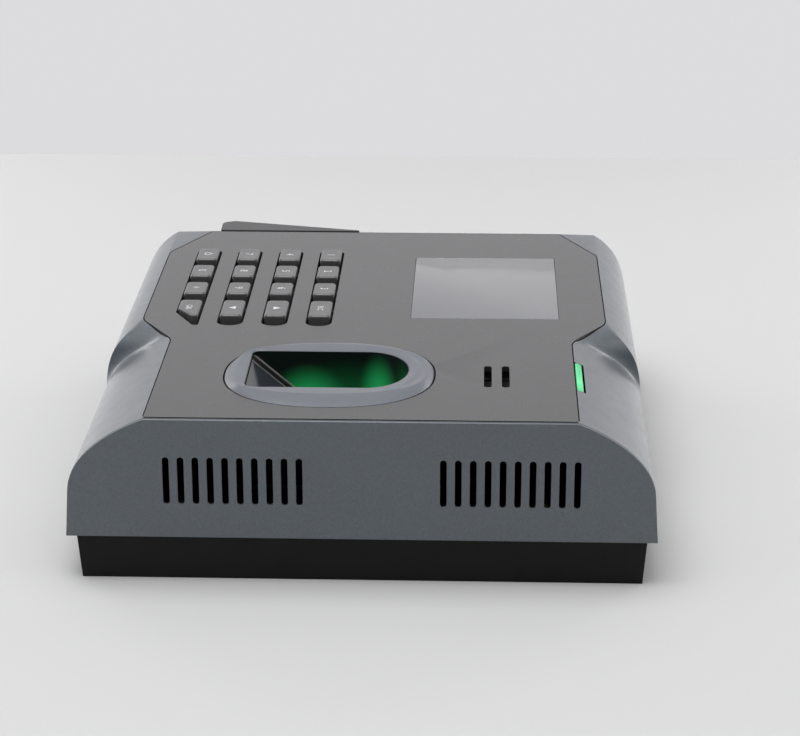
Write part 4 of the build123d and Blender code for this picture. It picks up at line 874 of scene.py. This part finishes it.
def stageSheet(name, points, faces, color, plain=None):
    mesh = bpy.data.meshes.new(name)
    mesh.from_pydata(np.asarray(points, float).reshape(-1, 3).tolist(), [], [list(map(int, f)) for f in faces])
    smoothly(mesh, 60)
    sheet = bpy.data.objects.new(name, mesh)
    bpy.context.scene.collection.objects.link(sheet)
    material = bpy.data.materials.new(name)
    material.use_nodes = True
    tree = material.node_tree
    shader = tree.nodes["Principled BSDF"]
    shader.inputs["Base Color"].default_value = (*color, 1)
    shader.inputs["Roughness"].default_value = 0.9
    shader.inputs["Specular IOR Level"].default_value = 0.1
    surface = shader.outputs["BSDF"]
    if plain:
        # The eye and reflections meet an even tone, the light meets the painted sheet
        even = tree.nodes.new("ShaderNodeEmission")
        even.inputs["Color"].default_value = (*plain, 1)
        path = tree.nodes.new("ShaderNodeLightPath")
        either = tree.nodes.new("ShaderNodeMath")
        either.operation = "MAXIMUM"
        tree.links.new(path.outputs["Is Camera Ray"], either.inputs[0])
        tree.links.new(path.outputs["Is Glossy Ray"], either.inputs[1])
        choice = tree.nodes.new("ShaderNodeMixShader")
        tree.links.new(either.outputs["Value"], choice.inputs["Fac"])
        tree.links.new(surface, choice.inputs[1])
        tree.links.new(even.outputs["Emission"], choice.inputs[2])
        surface = choice.outputs["Shader"]
    # Seen from behind the backdrop lets the view through
    clear = tree.nodes.new("ShaderNodeBsdfTransparent")
    mixed = tree.nodes.new("ShaderNodeMixShader")
    side = tree.nodes.new("ShaderNodeNewGeometry")
    tree.links.new(side.outputs["Backfacing"], mixed.inputs["Fac"])
    tree.links.new(surface, mixed.inputs[1])
    tree.links.new(clear.outputs["BSDF"], mixed.inputs[2])
    tree.links.new(mixed.outputs["Shader"], tree.nodes["Material Output"].inputs["Surface"])
    sheet.data.materials.append(material)
    return sheet


stage = stageSettings
wide = stage["halfWidth"]
stageSheet("tableTop", [(stage["tableFar"], -wide, 0), (stage["tableNear"], -wide, 0),
                        (stage["tableNear"], wide, 0), (stage["tableFar"], wide, 0)], [[0, 1, 2, 3]], stage["tableColor"])
turn = np.linspace(0, np.pi / 2, 9)
sweepX = np.concatenate([stage["tableFar"] - stage["bend"] * np.sin(turn), [stage["tableFar"] - stage["bend"]]])
sweepZ = np.concatenate([stage["bend"] * (1 - np.cos(turn)), [stage["wallHigh"]]])
sweep = np.stack([np.stack([sweepX, np.full(10, y), sweepZ], axis=1) for y in (-wide, wide)], axis=1)
stageSheet("backSweep", sweep, gridFaces(10, 2), stage["wallColor"], stage["wallTone"])

world = bpy.data.worlds.new("softRoom")
bpy.context.scene.world = world
world.use_nodes = True
tree = world.node_tree
backdrop = tree.nodes["Background"]
facing = tree.nodes.new("ShaderNodeTexCoord")
split = tree.nodes.new("ShaderNodeSeparateXYZ")
tree.links.new(facing.outputs["Generated"], split.inputs["Vector"])
around = tree.nodes.new("ShaderNodeMapRange")
around.interpolation_type = "SMOOTHSTEP"
for socket, number in (("From Min", -0.7), ("From Max", 0.9), ("To Min", stage["skyBack"]), ("To Max", stage["skyFront"])):
    around.inputs[socket].default_value = number
tree.links.new(split.outputs["X"], around.inputs["Value"])
# Towards the zenith the sky turns into one broad, bright patch
upward = tree.nodes.new("ShaderNodeMapRange")
upward.interpolation_type = "SMOOTHSTEP"
for socket, number in (("From Min", 0.35), ("From Max", 0.95), ("To Min", 0.0), ("To Max", 1.0)):
    upward.inputs[socket].default_value = number
tree.links.new(split.outputs["Z"], upward.inputs["Value"])
blend = tree.nodes.new("ShaderNodeMix")
blend.inputs["B"].default_value = stage["skyTop"]
tree.links.new(upward.outputs["Result"], blend.inputs["Factor"])
tree.links.new(around.outputs["Result"], blend.inputs["A"])
tree.links.new(blend.outputs["Result"], backdrop.inputs["Strength"])
backdrop.inputs["Color"].default_value = (1.0, 1.0, 1.01, 1)


def areaLamp(name, place, target, size, power, color=(1, 1, 1)):
    data = bpy.data.lights.new(name, "AREA")
    data.shape = "DISK"
    data.size = size
    data.energy = power
    data.color = color
    lamp = bpy.data.objects.new(name, data)
    bpy.context.scene.collection.objects.link(lamp)
    aim = Vector(target) - Vector(place)
    lamp.matrix_world = Matrix.Translation(place) @ aim.to_track_quat("-Z", "Y").to_matrix().to_4x4()
    return lamp


areaLamp("overhead", (0.1, -0.2, 1.3), (0, 0, 0), 0.9, stage["keyPower"])
for side, power in zip((-1, 1), stage["sidePower"]):
    areaLamp("backSide", (-0.45, 0.45 * side, 0.2), (-0.05, 0.09 * side, 0.05), 0.4, power)
print("stage set")
